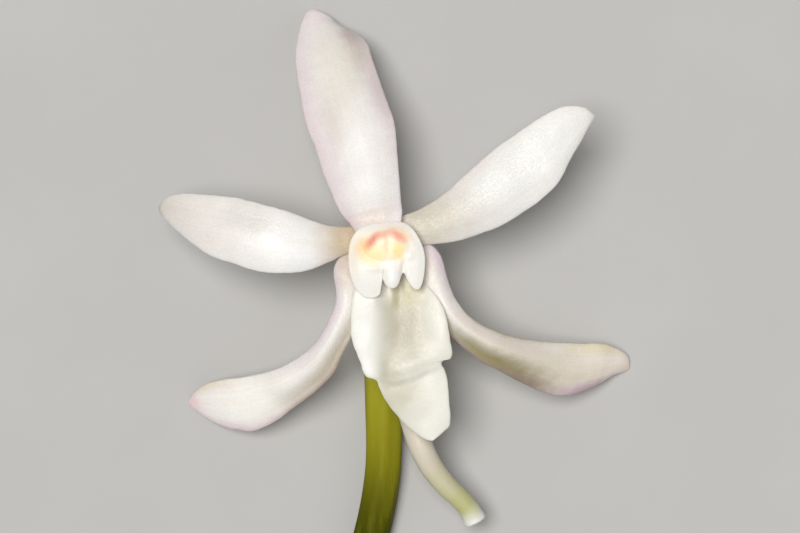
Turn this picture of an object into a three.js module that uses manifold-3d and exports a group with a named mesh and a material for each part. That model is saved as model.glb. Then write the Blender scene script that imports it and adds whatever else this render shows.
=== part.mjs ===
// Wind orchid flower, picked with its own stalk and lying face up on a flat surface.
// Millimetres, +Z up. The dorsal sepal points to +Y, the stalk runs out to -Y.
// Five free tepals, the lip with its spur, the column, its anther cap and the stalk
// are nine separate solids that meet around the top of the stalk.
import * as THREE from 'three';
import Module from 'manifold-3d';

// Driving dimensions
const TEPAL_THICKNESS = 0.5;
const TEPAL_BASE_THICKNESS = 0.75;
const LIP_THICKNESS = 0.7;
const STALK_RADIUS = 1.25;
const STALK_RIBS = 6;
const STALK_TWIST = 1.6;
const RECEPTACLE_RADIUS = 1.5;
const COLUMN_CENTRE = new THREE.Vector2(-0.8, 0.7);
const COLUMN_FOOT_RADIUS = 1.05;
const COLUMN_FOOT_HEIGHT = 6.4;
const ANTHER_CENTRE = new THREE.Vector2(-0.94, 1.42);
const ANTHER_RADII = new THREE.Vector2(1.72, 1.08);
const ANTHER_SEAT_HEIGHT = 9.45;
const FITTING_GAP = 0.08;

const PETAL_WHITE = new THREE.Color(0.86, 0.84, 0.82);
const LIP_WHITE = new THREE.Color(0.88, 0.87, 0.8);
const ANTHER_YELLOW = new THREE.Color(0.93, 0.7, 0.38);
const STALK_GREEN = new THREE.Color(0.42, 0.42, 0.12);

const lerp = THREE.MathUtils.lerp;
const smoothstep = THREE.MathUtils.smoothstep;
const hump = (centre, width, x) => Math.exp(-(((x - centre) / width) ** 2));

// A smooth curve through points given as [x, y, z].
function curveThrough(points) {
  const vectors = points.map(([x, y, z]) => new THREE.Vector3(x, y, z));
  return new THREE.CatmullRomCurve3(vectors, false, 'catmullrom', 0.5);
}

// A number that follows a list of values along 0..1.
function valueAlong(values, t) {
  const place = t * (values.length - 1);
  const index = Math.min(Math.floor(place), values.length - 2);
  return lerp(values[index], values[index + 1], place - index);
}

// A number that follows straight lines through [x, value] stations.
function lineThrough(stations) {
  return (x) => {
    if (x <= stations[0][0]) return stations[0][1];
    for (let i = 1; i < stations.length; i++) {
      const [x0, v0] = stations[i - 1];
      const [x1, v1] = stations[i];
      if (x <= x1) return lerp(v0, v1, (x - x0) / (x1 - x0));
    }
    return stations.at(-1)[1];
  };
}

// One closed body from rings of equal length, with a point at each end.
function closedBody(firstPoint, rings, lastPoint) {
  const positions = [firstPoint, ...rings.flat(), lastPoint];
  const count = rings[0].length;
  const last = positions.length - 1;
  const faces = [];
  for (let i = 0; i < count; i++) {
    const next = (i + 1) % count;
    faces.push(0, 1 + i, 1 + next);
    for (let j = 0; j < rings.length - 1; j++) {
      const here = 1 + j * count;
      const ahead = here + count;
      faces.push(here + i, ahead + i, here + next);
      faces.push(here + next, ahead + i, ahead + next);
    }
    const end = 1 + (rings.length - 1) * count;
    faces.push(last, end + next, end + i);
  }
  const geometry = new THREE.BufferGeometry().setFromPoints(positions);
  geometry.setIndex(faces);
  return geometry;
}

// The skin's height above the middle of a blade, from 0 at its margins to 1.
const skin = (up) => Math.sign(up) * Math.sqrt(Math.abs(up));

// A fleshy blade between two margins that run from its base to its tip.
// Left and right are as seen from above, looking from base to tip. The claw holds the
// stations under the column. rise(across, t) lifts the middle of the blade, with across
// from -1 to 1 and t from 0 at the end of the claw to 1. extra widens it all round.
function blade({ claw, left, right, rise }, extra = 0, ringCount = 32, around = 20) {
  const leftCurve = curveThrough([...claw.map((pair) => pair[0]), ...left]);
  const rightCurve = curveThrough([...claw.map((pair) => pair[1]), ...right]);
  const hidden = claw.length / (claw.length + left.length - 1);
  const rings = [];
  for (let j = 0; j < ringCount; j++) {
    const s = j / ringCount;
    const t = Math.max(0, (s - hidden) / (1 - hidden));
    const a = leftCurve.getPoint(s);
    const b = rightCurve.getPoint(s);
    const along = leftCurve.getTangent(s).add(rightCurve.getTangent(s));
    const sideways = new THREE.Vector3().subVectors(b, a);
    const normal = sideways.clone().cross(along).normalize();
    sideways.setLength(extra);
    a.sub(sideways);
    b.add(sideways);
    const thickness = lerp(TEPAL_BASE_THICKNESS, TEPAL_THICKNESS, Math.min(1, 3 * t));
    const half = 0.5 * thickness * Math.sqrt(Math.min(1, 5 * (1 - s))) + extra;
    const ring = [];
    for (let i = 0; i < around; i++) {
      const angle = (2 * Math.PI * i) / around;
      const across = Math.cos(angle);
      const point = a.clone().lerp(b, 0.5 + 0.5 * across);
      const height = rise(across, t) + half * skin(Math.sin(angle));
      ring.push(point.addScaledVector(normal, height));
    }
    rings.push(ring);
  }
  const base = leftCurve.getPoint(0).lerp(rightCurve.getPoint(0), 0.5);
  return layOnSurface(closedBody(base, rings, leftCurve.getPoint(1)));
}

// A round body along a centre line; radius(t, angle) is its size.
function tube(points, radius, ringCount, around, endPush) {
  const curve = curveThrough(points);
  const frames = curve.computeFrenetFrames(ringCount, false);
  const rings = [];
  for (let j = 0; j <= ringCount; j++) {
    const t = j / ringCount;
    const centre = curve.getPointAt(t);
    const ring = [];
    for (let i = 0; i < around; i++) {
      const angle = (2 * Math.PI * i) / around;
      const size = radius(t, angle);
      ring.push(
        centre
          .clone()
          .addScaledVector(frames.normals[j], size * Math.cos(angle))
          .addScaledVector(frames.binormals[j], -size * Math.sin(angle)),
      );
    }
    rings.push(ring);
  }
  const end = curve.getPointAt(1).addScaledVector(frames.tangents[ringCount], endPush);
  return layOnSurface(closedBody(curve.getPointAt(0), rings, end));
}

// What lies on the surface is pressed a little flat.
function layOnSurface(geometry) {
  const position = geometry.getAttribute('position');
  for (let i = 0; i < position.count; i++) {
    position.setZ(i, Math.max(0, position.getZ(i)));
  }
  return geometry;
}

const manifold = await Module();
manifold.setup();

function toSolid(geometry) {
  return new manifold.Manifold(
    new manifold.Mesh({
      numProp: 3,
      vertProperties: new Float32Array(geometry.getAttribute('position').array),
      triVerts: new Uint32Array(geometry.index.array),
    }),
  );
}

function fromSolid(solid) {
  const mesh = solid.getMesh();
  const geometry = new THREE.BufferGeometry();
  geometry.setAttribute('position', new THREE.BufferAttribute(mesh.vertProperties, 3));
  geometry.setIndex(new THREE.BufferAttribute(mesh.triVerts, 1));
  return geometry;
}

const flower = new THREE.Group();
flower.name = 'wind_orchid_flower';

function addPiece(name, geometry, color, roughness) {
  geometry.computeVertexNormals();
  const material = new THREE.MeshStandardMaterial({ color, roughness, metalness: 0 });
  const mesh = new THREE.Mesh(geometry, material);
  mesh.name = name;
  flower.add(mesh);
}

// Each piece around the column is shaped by the ones before it: makeSolid(extra) gives its
// solid, and the later pieces are cut back from the one that is FITTING_GAP larger.
const earlier = [];
function addFitted(name, makeSolid, color, roughness) {
  let solid = makeSolid(0);
  for (const other of earlier) {
    solid = solid.subtract(other);
  }
  const parts = solid.decompose().sort((a, b) => b.volume() - a.volume());
  addPiece(name, fromSolid(parts[0]), color, roughness);
  earlier.push(makeSolid(FITTING_GAP));
}

// ---------------------------------------------------------------- stalk
// Ovary and flower stalk in one, ribbed and twisted, widening into the receptacle.
const stalkLine = [
  [-0.8, 0.75, 6.3], [-0.8, 0.7, 5.2], [-0.86, 0.35, 3.9], [-1.03, -0.55, 2.9],
  [-1.15, -1.8, 2.3], [-1.2, -3.7, 1.85], [-1.15, -6.42, 1.55], [-1.12, -9.86, 1.4],
  [-1.12, -13.3, 1.35], [-1.38, -15.71, 1.3], [-1.88, -18.12, 1.25], [-2.5, -20.19, 1.2],
];
const stalkWidening = [1, 1, 1, 1.03, 1.06, 1.05, 1.02, 0.99, 0.96, 0.95];

function stalkSolid(extra) {
  const top = [-0.8, 0.75, 6.3 + extra];
  const radius = (t, angle) => {
    const rib = 0.05 * Math.cos(STALK_RIBS * angle + 2 * Math.PI * STALK_TWIST * t);
    const stem = STALK_RADIUS * valueAlong(stalkWidening, t) * (1 + rib);
    return lerp(RECEPTACLE_RADIUS, stem, smoothstep(t, 0, 0.1)) + extra;
  };
  return toSolid(tube([top, ...stalkLine.slice(1)], radius, 46, 26, 0));
}
addFitted('pedicel', stalkSolid, STALK_GREEN, 0.55);

// ---------------------------------------------------------------- column
// The bell's rim seen from the front: two wings and the beak between them at the bottom.
const rimPoints = [
  [-2.99, -1.43], [-3.19, -0.96], [-3.35, -0.37], [-3.43, 0.3], [-3.42, 0.96],
  [-3.32, 1.56], [-3.09, 2.09], [-2.72, 2.49], [-2.19, 2.76], [-1.59, 2.89],
  [-0.93, 2.96], [-0.27, 2.99], [0.27, 2.92], [0.7, 2.66], [1.06, 2.23], [1.36, 1.69],
  [1.58, 1.1], [1.68, 0.43], [1.65, -0.23], [1.56, -0.83], [1.45, -1.23], [1.3, -1.49],
  [1.06, -1.53], [0.83, -1.38], [0.63, -1.12], [0.43, -0.76], [0.32, -0.51],
  [0.21, -0.43], [0.11, -0.58], [0.02, -0.86], [-0.07, -1.13], [-0.23, -1.35],
  [-0.46, -1.45], [-0.73, -1.41], [-0.96, -1.22], [-1.1, -0.96], [-1.2, -0.82],
  [-1.32, -0.78], [-1.38, -0.93], [-1.37, -1.23], [-1.29, -1.56], [-1.33, -1.83],
  [-1.56, -2.03], [-1.93, -2.12], [-2.32, -2.05], [-2.69, -1.79],
];
const bellRim = new THREE.CatmullRomCurve3(
  rimPoints.map(([x, y]) => new THREE.Vector3(x, y, 0)),
  true,
  'catmullrom',
  0.5,
).getSpacedPoints(90);
bellRim.pop();

// The bell's rim moved outwards by extra.
function widerRim(extra) {
  return bellRim.map((rim, i) => {
    const before = bellRim.at(i - 1);
    const after = bellRim[(i + 1) % bellRim.length];
    const outwards = new THREE.Vector3(before.y - after.y, after.x - before.x, 0);
    return rim.clone().add(outwards.setLength(extra));
  });
}

// A ring between an inner ellipse (opening 0) and a rim (opening 1). The points of the
// ellipse follow the rim's but keep apart where the rim's crowd in its notches.
function ringInside(outline, centre, radiusX, radiusY, opening, heightAt) {
  const start = Math.atan2(outline[0].y - centre.y, outline[0].x - centre.x);
  return outline.map((rim, i) => {
    const even = start - (2 * Math.PI * i) / outline.length;
    const lag = Math.atan2(rim.y - centre.y, rim.x - centre.x) - even;
    const angle = even + 0.6 * Math.atan2(Math.sin(lag), Math.cos(lag));
    const px = lerp(centre.x + radiusX * Math.cos(angle), rim.x, opening);
    const py = lerp(centre.y + radiusY * Math.sin(angle), rim.y, opening);
    return new THREE.Vector3(px, py, heightAt(px, py));
  });
}

// Front face of the bell, with the beak and the wings that lean back beside it.
function bellFront(x, y) {
  const face = 10.35 - 0.04 * (x + 0.8) ** 2 - 0.02 * (y - 1) ** 2;
  const wing = 0.35 * smoothstep(-y, 0.2, 2.1) * smoothstep(-x, 0.7, 1.7);
  const beak = 0.15 * hump(-0.52, 0.42, x) * smoothstep(-y, -0.5, 0.4);
  const grooves = 0.1 * hump(-1.28, 0.16, x) + 0.14 * hump(0.22, 0.16, x);
  const crown = 0.3 * smoothstep(y, 2.2, 3.2);
  return face - wing + beak - crown - grooves * smoothstep(-y, -0.4, 0.6);
}

function columnSolid(extra) {
  const outline = widerRim(extra);
  const footRadius = COLUMN_FOOT_RADIUS + extra;
  const footRing = (opening, heightAt) =>
    ringInside(outline, COLUMN_CENTRE, footRadius, footRadius, opening, heightAt);
  const seatRing = (widening, opening, heightAt) => {
    const radiusX = ANTHER_RADII.x + widening;
    const radiusY = ANTHER_RADII.y + widening;
    return ringInside(outline, ANTHER_CENTRE, radiusX, radiusY, opening, heightAt);
  };
  const under = (drop) => (x, y) => bellFront(x, y) - drop - extra;
  const front = (x, y) => bellFront(x, y) + extra;
  const seatWall = 2 * FITTING_GAP;
  const foot = COLUMN_FOOT_HEIGHT - extra;
  const rings = [
    footRing(0, () => foot),
    footRing(0.03, () => 7.2),
    footRing(0.14, () => 7.9 - extra),
    footRing(0.3, () => 8.4 - extra),
    footRing(0.5, () => 8.75 - extra),
    footRing(0.7, under(1.15)),
    footRing(0.85, under(0.9)),
    footRing(0.95, under(0.6)),
    footRing(0.99, under(0.35)),
    seatRing(seatWall, 1, (x, y) => bellFront(x, y) - 0.1),
    seatRing(seatWall, 0.96, front),
    ...[0.86, 0.7, 0.5, 0.3, 0.12, 0].map((opening) => seatRing(seatWall, opening, front)),
    seatRing(FITTING_GAP, 0, () => ANTHER_SEAT_HEIGHT),
  ];
  const footMiddle = new THREE.Vector3(COLUMN_CENTRE.x, COLUMN_CENTRE.y, foot);
  const seatMiddle = new THREE.Vector3(ANTHER_CENTRE.x, ANTHER_CENTRE.y, ANTHER_SEAT_HEIGHT);
  return toSolid(closedBody(footMiddle, rings, seatMiddle));
}
addFitted('column', columnSolid, LIP_WHITE, 0.45);

// ---------------------------------------------------------------- anther cap
// A lid of two low domes with a groove between them, sitting in the column's seat.
const capBase = ANTHER_SEAT_HEIGHT + FITTING_GAP;

function capRing(spread, heightAt) {
  const ring = [];
  for (let i = 0; i < 36; i++) {
    const angle = (2 * Math.PI * i) / 36;
    const across = spread * Math.cos(angle);
    const x = ANTHER_CENTRE.x + ANTHER_RADII.x * across;
    const y = ANTHER_CENTRE.y - ANTHER_RADII.y * spread * Math.sin(angle);
    ring.push(new THREE.Vector3(x, y, heightAt(x, y, across, spread)));
  }
  return ring;
}

function capTop(x, y, across, spread) {
  const groove = 0.05 * hump(0.1, 0.12, across) * (1 - spread);
  return bellFront(x, y) + 0.12 * (1 - spread * spread) - groove;
}

const capRings = [
  capRing(0.96, () => capBase),
  capRing(1, () => capBase + 0.06),
  capRing(1, (x, y) => bellFront(x, y) - 0.05),
];
const capSteps = 9;
for (let j = 1; j < capSteps; j++) {
  capRings.push(capRing(Math.cos((0.5 * Math.PI * j) / capSteps), capTop));
}
const capUnder = new THREE.Vector3(ANTHER_CENTRE.x, ANTHER_CENTRE.y, capBase);
const capMiddle = capUnder.clone().setZ(capTop(ANTHER_CENTRE.x, ANTHER_CENTRE.y, 0, 0));
addPiece('anther_cap', closedBody(capUnder, capRings, capMiddle), ANTHER_YELLOW, 0.4);

// ---------------------------------------------------------------- lip
// One sheet between two margins: the side lobes stand up beside a channel, a fold crosses
// its end, and the mid-lobe hangs from the fold.
const lipLeft = [
  [-2.54, -0.37], [-2.94, -1.04], [-3.07, -1.64], [-3.21, -2.37], [-3.27, -3.31],
  [-3.27, -4.24], [-3.14, -5.11], [-2.87, -5.84], [-2.61, -6.51], [-2.47, -6.98],
  [-2.24, -7.37], [-1.8, -7.51], [-1.54, -7.68], [-1.4, -8.05], [-1.14, -8.65],
  [-0.73, -9.32], [-0.13, -10.05], [0.53, -10.75], [1.2, -11.29], [1.67, -11.56],
  [2.0, -11.66], [2.2, -11.66],
];
const lipRight = [
  [1.2, -0.37], [1.6, -0.9], [2.07, -1.5], [2.54, -2.1], [2.94, -2.84], [3.18, -3.71],
  [3.31, -4.58], [3.44, -5.38], [3.49, -5.84], [3.34, -6.17], [2.91, -6.29],
  [2.77, -6.51], [2.96, -6.88], [3.13, -7.31], [3.23, -7.98], [3.29, -8.78],
  [3.34, -9.52], [3.38, -10.19], [3.27, -10.72], [2.87, -11.12], [2.47, -11.46],
  [2.2, -11.66],
];
const lipFloor = lineThrough([
  [-11.7, 7.9], [-10, 8.35], [-8.5, 8.65], [-7.2, 8.75], [-0.4, 8.6], [0.2, 8.35],
]);
const leftLobe = lineThrough([
  [-9.3, 0], [-7.5, 0.25], [-6.5, 0.35], [-4.5, 0.5], [-3, 0.65], [-1.2, 0.8],
]);
const leftLobeEdge = lineThrough([
  [-9.3, -0.5], [-8.4, -1], [-6.5, -1.35], [-4.5, -1], [-3.5, -0.95], [-0.8, -1.44],
]);
const leftLobeSoftness = lineThrough([[-8, 0.6], [-5.5, 1.2], [-3.6, 1], [-1.6, 0.45]]);
const rightLobe = lineThrough([[-6.7, 0], [-5.2, 0.4], [-4, 0.45], [-0.4, 0.4]]);
const foldLine = lineThrough([
  [-1.5, -7.62], [-0.62, -7.82], [0.24, -7.68], [1, -7.44], [1.76, -7.05], [2.94, -6.45],
]);

function lipHeight(x, y) {
  const edge = leftLobeEdge(y);
  const softness = leftLobeSoftness(y);
  const left = leftLobe(y) * smoothstep(-x, -edge - softness, -edge + softness);
  const right = rightLobe(y) * smoothstep(x, 0.9, 3.3);
  const mound = 0.16 * hump(0.95, 1.5, x) * hump(-6.5 + 0.25 * (x - 1), 0.85, y);
  const step = 0.14 * smoothstep(foldLine(x) - y, -0.22, 0.28) * smoothstep(x, -1.9, -0.2);
  return lipFloor(y) + left + right + mound - step;
}

function lipPlate(extra) {
  const leftCurve = curveThrough(lipLeft.map(([x, y]) => [x, y, 0]));
  const rightCurve = curveThrough(lipRight.map(([x, y]) => [x, y, 0]));
  const rings = [];
  const ringCount = 38;
  for (let j = 0; j < ringCount; j++) {
    const t = j / ringCount;
    const a = rightCurve.getPoint(t);
    const b = leftCurve.getPoint(t);
    const sideways = b.clone().sub(a).setLength(extra);
    a.sub(sideways);
    b.add(sideways);
    const half = 0.5 * LIP_THICKNESS * Math.sqrt(Math.min(1, 6 * (1 - t)));
    const ring = [];
    for (let i = 0; i < 28; i++) {
      const angle = (2 * Math.PI * i) / 28;
      const point = a.clone().lerp(b, 0.5 + 0.5 * Math.cos(angle));
      const middle = lipHeight(point.x, point.y) - half;
      ring.push(point.setZ(middle + (half + extra) * skin(Math.sin(angle))));
    }
    rings.push(ring);
  }
  const base = leftCurve.getPoint(0).lerp(rightCurve.getPoint(0), 0.5);
  const tip = leftCurve.getPoint(1);
  base.z = lipHeight(base.x, base.y) - 0.5 * LIP_THICKNESS;
  tip.z = lipHeight(tip.x, tip.y) - 0.5 * LIP_THICKNESS;
  return toSolid(closedBody(base, rings, tip));
}

// The spur leaves the plate's underside, passes behind the mid-lobe and ends in a dimple.
const spurLine = [
  [-0.84, -1.3, 8.25], [-0.86, -1.4, 7.4], [-0.8, -1.9, 6.5], [-0.41, -3.21, 5.8],
  [0, -5.79, 5.2], [0.54, -9.05, 4.9], [1.02, -10.95, 4.8], [1.53, -12.45, 4.7],
  [2.19, -13.69, 4.4], [3.13, -14.9, 4], [4.05, -15.78, 3.6], [4.64, -16.48, 3.25],
  [5.1, -17.28, 2.95],
];
const spurRadii = [
  0.95, 0.93, 0.9, 0.87, 0.86, 0.87, 0.88, 0.88, 0.88, 0.86, 0.84, 0.81, 0.77, 0.74, 0.84,
];

function lipSolid(extra) {
  const spur = tube(spurLine, (t) => valueAlong(spurRadii, t) + extra, 36, 16, -0.2);
  return lipPlate(extra).add(toSolid(spur));
}
addFitted('lip', lipSolid, LIP_WHITE, 0.5);

// ---------------------------------------------------------------- tepals
// Each row of arch is how far the middle stands above the line between the margins.
const arched = (arch) => (across, t) => valueAlong(arch, t) * (1 - across * across);

// The lateral sepals have a keel and a soft fold on one side of it.
const lateralArch = [0.15, 0.35, 0.5, 0.6, 0.7, 0.65, 0.5, 0.25, 0];
function folded(foldSide, foldPlace, foldEnd) {
  return (across, t) => {
    const side = across * foldSide;
    const deep = smoothstep(t, 0.15, 0.4) * smoothstep(-t, -foldEnd, 0.35 - foldEnd);
    const fall = smoothstep(side, foldPlace - 0.6, foldPlace + 0.25);
    const fold = deep * (0.45 * fall - 0.12 * smoothstep(side, 0.6, 1));
    return valueAlong(lateralArch, t) * (1 - across * across) - fold;
  };
}

const tepals = {
  dorsal_sepal: {
    claw: [
      [[-1.87, 1.58, 6.4], [-0.79, 2.08, 6.4]], [[-2.07, 1.65, 7.6], [-0.71, 2.29, 7.6]],
      [[-2.4, 1.75, 8.5], [-0.5, 2.4, 8.5]],
    ],
    left: [
      [-2.87, 2.17, 9.1], [-3.34, 2.84, 9.3], [-3.67, 3.17, 9.05], [-4.1, 3.78, 8.55],
      [-4.61, 4.96, 8], [-5.12, 6.15, 7.4], [-5.64, 7.84, 6.8], [-6.32, 9.55, 6.1],
      [-6.68, 11.27, 5.2], [-6.97, 12.84, 4.3], [-7.13, 14.26, 3.3], [-7.02, 15.52, 2.3],
      [-6.78, 16.6, 1.4], [-6.61, 17.12, 0.85], [-6.45, 17.49, 0.4], [-6.22, 17.75, -0.05],
    ],
    right: [
      [-0.13, 2.3, 9.1], [0.15, 3.37, 9.3], [0.12, 3.97, 9.05], [0.03, 4.92, 8.55],
      [-0.07, 6.27, 8], [-0.18, 7.76, 7.4], [-0.37, 9.66, 6.8], [-0.88, 11.17, 6.1],
      [-1.39, 12.63, 5.2], [-1.9, 14.17, 4.3], [-2.25, 15.25, 3.3], [-2.91, 15.89, 2.3],
      [-4.06, 16.46, 1.4], [-4.89, 17.19, 0.85], [-5.59, 17.58, 0.4], [-6.22, 17.75, -0.05],
    ],
    rise: arched([0.15, 0.45, 0.6, 0.6, 0.55, 0.45, 0.35, 0.2, 0]),
  },
  left_lateral_sepal: {
    claw: [
      [[-1.64, -0.35, 6.4], [-2.14, 0.73, 6.4]], [[-1.78, -0.15, 7.3], [-2.83, 0.81, 7.3]],
    ],
    left: [
      [-1.92, -0.02, 7.9], [-2.15, -0.25, 8.1], [-2.42, -0.85, 8.1], [-2.45, -1.58, 8.1],
      [-2.5, -2.38, 8.05], [-2.6, -3.32, 8], [-2.9, -4.13, 7.9], [-3.33, -4.94, 7.7],
      [-3.9, -6.02, 7.3], [-4.42, -7.12, 6.7], [-5.27, -8.08, 6], [-6.28, -8.93, 5.2],
      [-7.41, -9.76, 4.1], [-8.67, -10.67, 3.2], [-10, -11.24, 2.3], [-11.41, -11.14, 1.5],
      [-12.74, -10.74, 0.85], [-13.81, -10.07, 0.35], [-14.66, -9.45, -0.05],
    ],
    right: [
      [-3.56, 0.84, 8], [-4.13, 0.5, 8.1], [-4.39, 0.03, 8.1], [-4.44, -0.57, 8.1],
      [-4.32, -1.38, 8.05], [-4.28, -2.18, 8], [-4.51, -3.06, 7.9], [-5.01, -4.13, 7.7],
      [-5.63, -5.04, 7.3], [-6.41, -5.81, 6.7], [-7.34, -6.44, 6], [-8.44, -6.97, 5.2],
      [-9.56, -7.3, 4.1], [-10.68, -7.54, 3.2], [-11.78, -7.7, 2.3], [-12.78, -7.88, 1.5],
      [-13.51, -8.21, 0.85], [-14.15, -8.69, 0.35], [-14.66, -9.45, -0.05],
    ],
    rise: folded(-1, 0.35, 0.85),
  },
  right_lateral_sepal: {
    claw: [
      [[0.52, 0.97, 6.4], [0.2, -0.19, 6.4]], [[1.18, 1.22, 7.3], [0.32, -0.05, 7.2]],
    ],
    left: [
      [1.88, 1.5, 8.1], [2.31, 1.29, 8.3], [2.68, 0.84, 8.3], [2.89, 0.3, 8.2],
      [3.07, -0.37, 8.1], [3.26, -1.07, 8], [3.71, -2.15, 7.9], [4.37, -3.07, 7.7],
      [5.32, -3.83, 7.3], [6.44, -4.35, 6.8], [7.5, -4.71, 6.2], [8.6, -4.95, 5.5],
      [9.88, -5.12, 4.6], [11.24, -5.2, 3.8], [12.41, -5.27, 3], [13.57, -5.26, 2.2],
      [14.54, -5.48, 1.4], [15.28, -5.82, 0.8], [15.74, -6.35, 0.3], [15.86, -7.12, -0.05],
    ],
    right: [
      [0.38, -0.05, 7.7], [0.6, -0.45, 7.8], [0.94, -1.11, 7.8], [1.27, -1.78, 7.8],
      [1.61, -2.45, 7.8], [2.01, -3.12, 7.75], [2.48, -3.86, 7.7], [3.16, -4.54, 7.5],
      [4.17, -5.42, 7.2], [5.46, -6.42, 6.7], [6.64, -7, 6.1], [7.78, -7.61, 5.4],
      [8.94, -8.19, 4.6], [10.08, -8.67, 3.8], [11.34, -8.83, 3], [12.61, -8.5, 2.2],
      [13.71, -8.01, 1.4], [14.61, -7.49, 0.8], [15.33, -7.26, 0.3], [15.86, -7.12, -0.05],
    ],
    rise: folded(1, 0.3, 0.9),
  },
  left_petal: {
    claw: [
      [[-2.16, 0.65, 6.4], [-1.6, 1.81, 6.4]], [[-2.65, 0.84, 7.5], [-2.2, 2.18, 7.5]],
    ],
    left: [
      [-3.09, 0.97, 8.2], [-4.03, 0.64, 8.35], [-5.02, 0.17, 8.6], [-6.01, -0.23, 8.85],
      [-7, -0.41, 9.05], [-8, -0.45, 9.2], [-9, -0.39, 9.2], [-10, -0.18, 9.05],
      [-11.01, 0.17, 8.8], [-12.37, 0.6, 8.3], [-13.61, 1.32, 7.7], [-14.66, 2.15, 7],
      [-15.5, 2.88, 6.4], [-16.04, 3.44, 5.9], [-16.28, 3.96, 5.6],
    ],
    right: [
      [-3.09, 2.65, 8.2], [-4.03, 2.68, 8.35], [-5.02, 2.78, 8.6], [-6.01, 3.11, 8.85],
      [-7, 3.51, 9.05], [-8, 3.84, 9.2], [-9, 4.1, 9.2], [-10, 4.38, 9.05],
      [-11.01, 4.61, 8.8], [-12.37, 4.75, 8.3], [-13.61, 4.87, 7.7], [-14.72, 4.89, 7],
      [-15.5, 4.73, 6.4], [-16.04, 4.36, 5.9], [-16.28, 3.96, 5.6],
    ],
    rise: arched([0.1, 0.3, 0.5, 0.5, 0.45, 0.35, 0.25, 0.15, 0]),
  },
  right_petal: {
    claw: [
      [[-0.69, 2.04, 6.4], [0.33, 1.42, 6.4]], [[-0.55, 2.45, 7.5], [0.48, 1.55, 7.5]],
    ],
    left: [
      [-0.27, 2.99, 8.2], [0.17, 3.39, 8.35], [1.01, 3.7, 8.45], [1.84, 4.12, 8.5],
      [2.68, 4.66, 8.55], [3.41, 5.21, 8.6], [4.17, 5.95, 8.7], [5.01, 6.69, 8.8],
      [5.83, 7.44, 8.9], [6.67, 8.11, 8.95], [7.5, 8.68, 9], [8.34, 9.27, 9],
      [9.17, 9.81, 8.95], [10.01, 10.3, 8.9], [10.75, 10.63, 8.8], [11.58, 10.72, 8.65],
      [12.3, 10.61, 8.5], [12.73, 10.34, 8.35], [13.05, 10.04, 8.2],
    ],
    right: [
      [0.54, 1.51, 8.2], [1.34, 1.41, 8.35], [2.41, 1.5, 8.45], [3.48, 1.63, 8.5],
      [4.48, 1.87, 8.55], [5.48, 2.23, 8.6], [6.48, 2.59, 8.7], [7.28, 3.01, 8.8],
      [8.07, 3.52, 8.9], [8.87, 4.04, 8.95], [9.67, 4.68, 9], [10.37, 5.36, 9],
      [10.8, 5.97, 8.95], [11.17, 6.74, 8.9], [11.61, 7.58, 8.8], [12.09, 8.38, 8.65],
      [12.53, 9.2, 8.5], [12.83, 9.69, 8.35], [13.05, 10.04, 8.2],
    ],
    rise: arched([0.1, 0.25, 0.4, 0.45, 0.4, 0.35, 0.25, 0.15, 0]),
  },
};

for (const [name, tepal] of Object.entries(tepals)) {
  addFitted(name, (extra) => toSolid(blade(tepal, extra)), PETAL_WHITE, 0.5);
}

// Put the origin on the surface, under the middle of the whole flower.
const bounds = new THREE.Box3().setFromObject(flower);
const middle = bounds.getCenter(new THREE.Vector3());
for (const piece of flower.children) {
  piece.geometry.translate(-middle.x, -middle.y, -bounds.min.z);
}

export default flower;
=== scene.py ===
# Wind orchid flower, picked with its stalk and lying face up on a pale surface.
# Metres, +Z up. Drawn sizes are in millimetres, and become metres as each mesh is made.

import math

import bpy
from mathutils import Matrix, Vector, noise


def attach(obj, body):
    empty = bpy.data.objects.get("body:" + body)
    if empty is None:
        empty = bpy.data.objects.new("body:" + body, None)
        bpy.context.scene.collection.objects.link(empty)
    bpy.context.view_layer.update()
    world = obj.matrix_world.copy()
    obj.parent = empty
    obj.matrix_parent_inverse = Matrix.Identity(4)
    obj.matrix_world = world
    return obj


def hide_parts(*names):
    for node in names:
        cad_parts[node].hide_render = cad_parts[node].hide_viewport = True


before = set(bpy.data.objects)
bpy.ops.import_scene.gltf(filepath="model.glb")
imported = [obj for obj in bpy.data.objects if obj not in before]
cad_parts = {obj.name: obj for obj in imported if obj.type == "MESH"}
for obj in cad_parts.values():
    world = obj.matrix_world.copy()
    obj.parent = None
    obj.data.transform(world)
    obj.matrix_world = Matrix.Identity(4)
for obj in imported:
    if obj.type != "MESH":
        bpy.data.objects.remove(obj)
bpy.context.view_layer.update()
scene = bpy.context.scene

# ------------------------------------------------------------------------------------------
# Studio: a plain pale table top, a large soft light near the camera and pale surroundings.
# The camera looks straight down on the flower's face.

MM = 0.001
MIDDLE = Vector((-0.2164, -1.372, 0.0))  # the middle of the whole flower in its own drawing


def place(x, y, z):
    """A point of the flower's drawing, in metres from the origin under its middle."""
    return (Vector((x, y, z)) - MIDDLE) * MM


CAMERA_HEIGHT = 256  # mm above the table top

camera_data = bpy.data.cameras.new("Camera")
camera_data.sensor_width = 36.0
camera_data.lens = 166.7
camera_data.clip_start = 0.01
camera_data.clip_end = 20.0
camera = bpy.data.objects.new("Camera", camera_data)
camera.location = place(0, 0, CAMERA_HEIGHT)
scene.collection.objects.link(camera)
scene.camera = camera


def soft_light(name, spot, spread, strength, color):
    """A wide, even light that shines from the side of spot (mm) on the whole table."""
    data = bpy.data.lights.new(name, "SUN")
    data.angle = math.radians(spread)
    data.energy = strength
    data.color = color
    lamp = bpy.data.objects.new(name, data)
    lamp.location = place(*spot)
    aim = place(0, 0, 4) - lamp.location
    lamp.rotation_euler = aim.to_track_quat("-Z", "Y").to_euler()
    scene.collection.objects.link(lamp)


soft_light("key", (-70, 35, 400), 28, 2.8, (1.0, 0.985, 0.97))
soft_light("fill", (200, -120, 280), 45, 0.2, (0.97, 0.98, 1.0))

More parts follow.
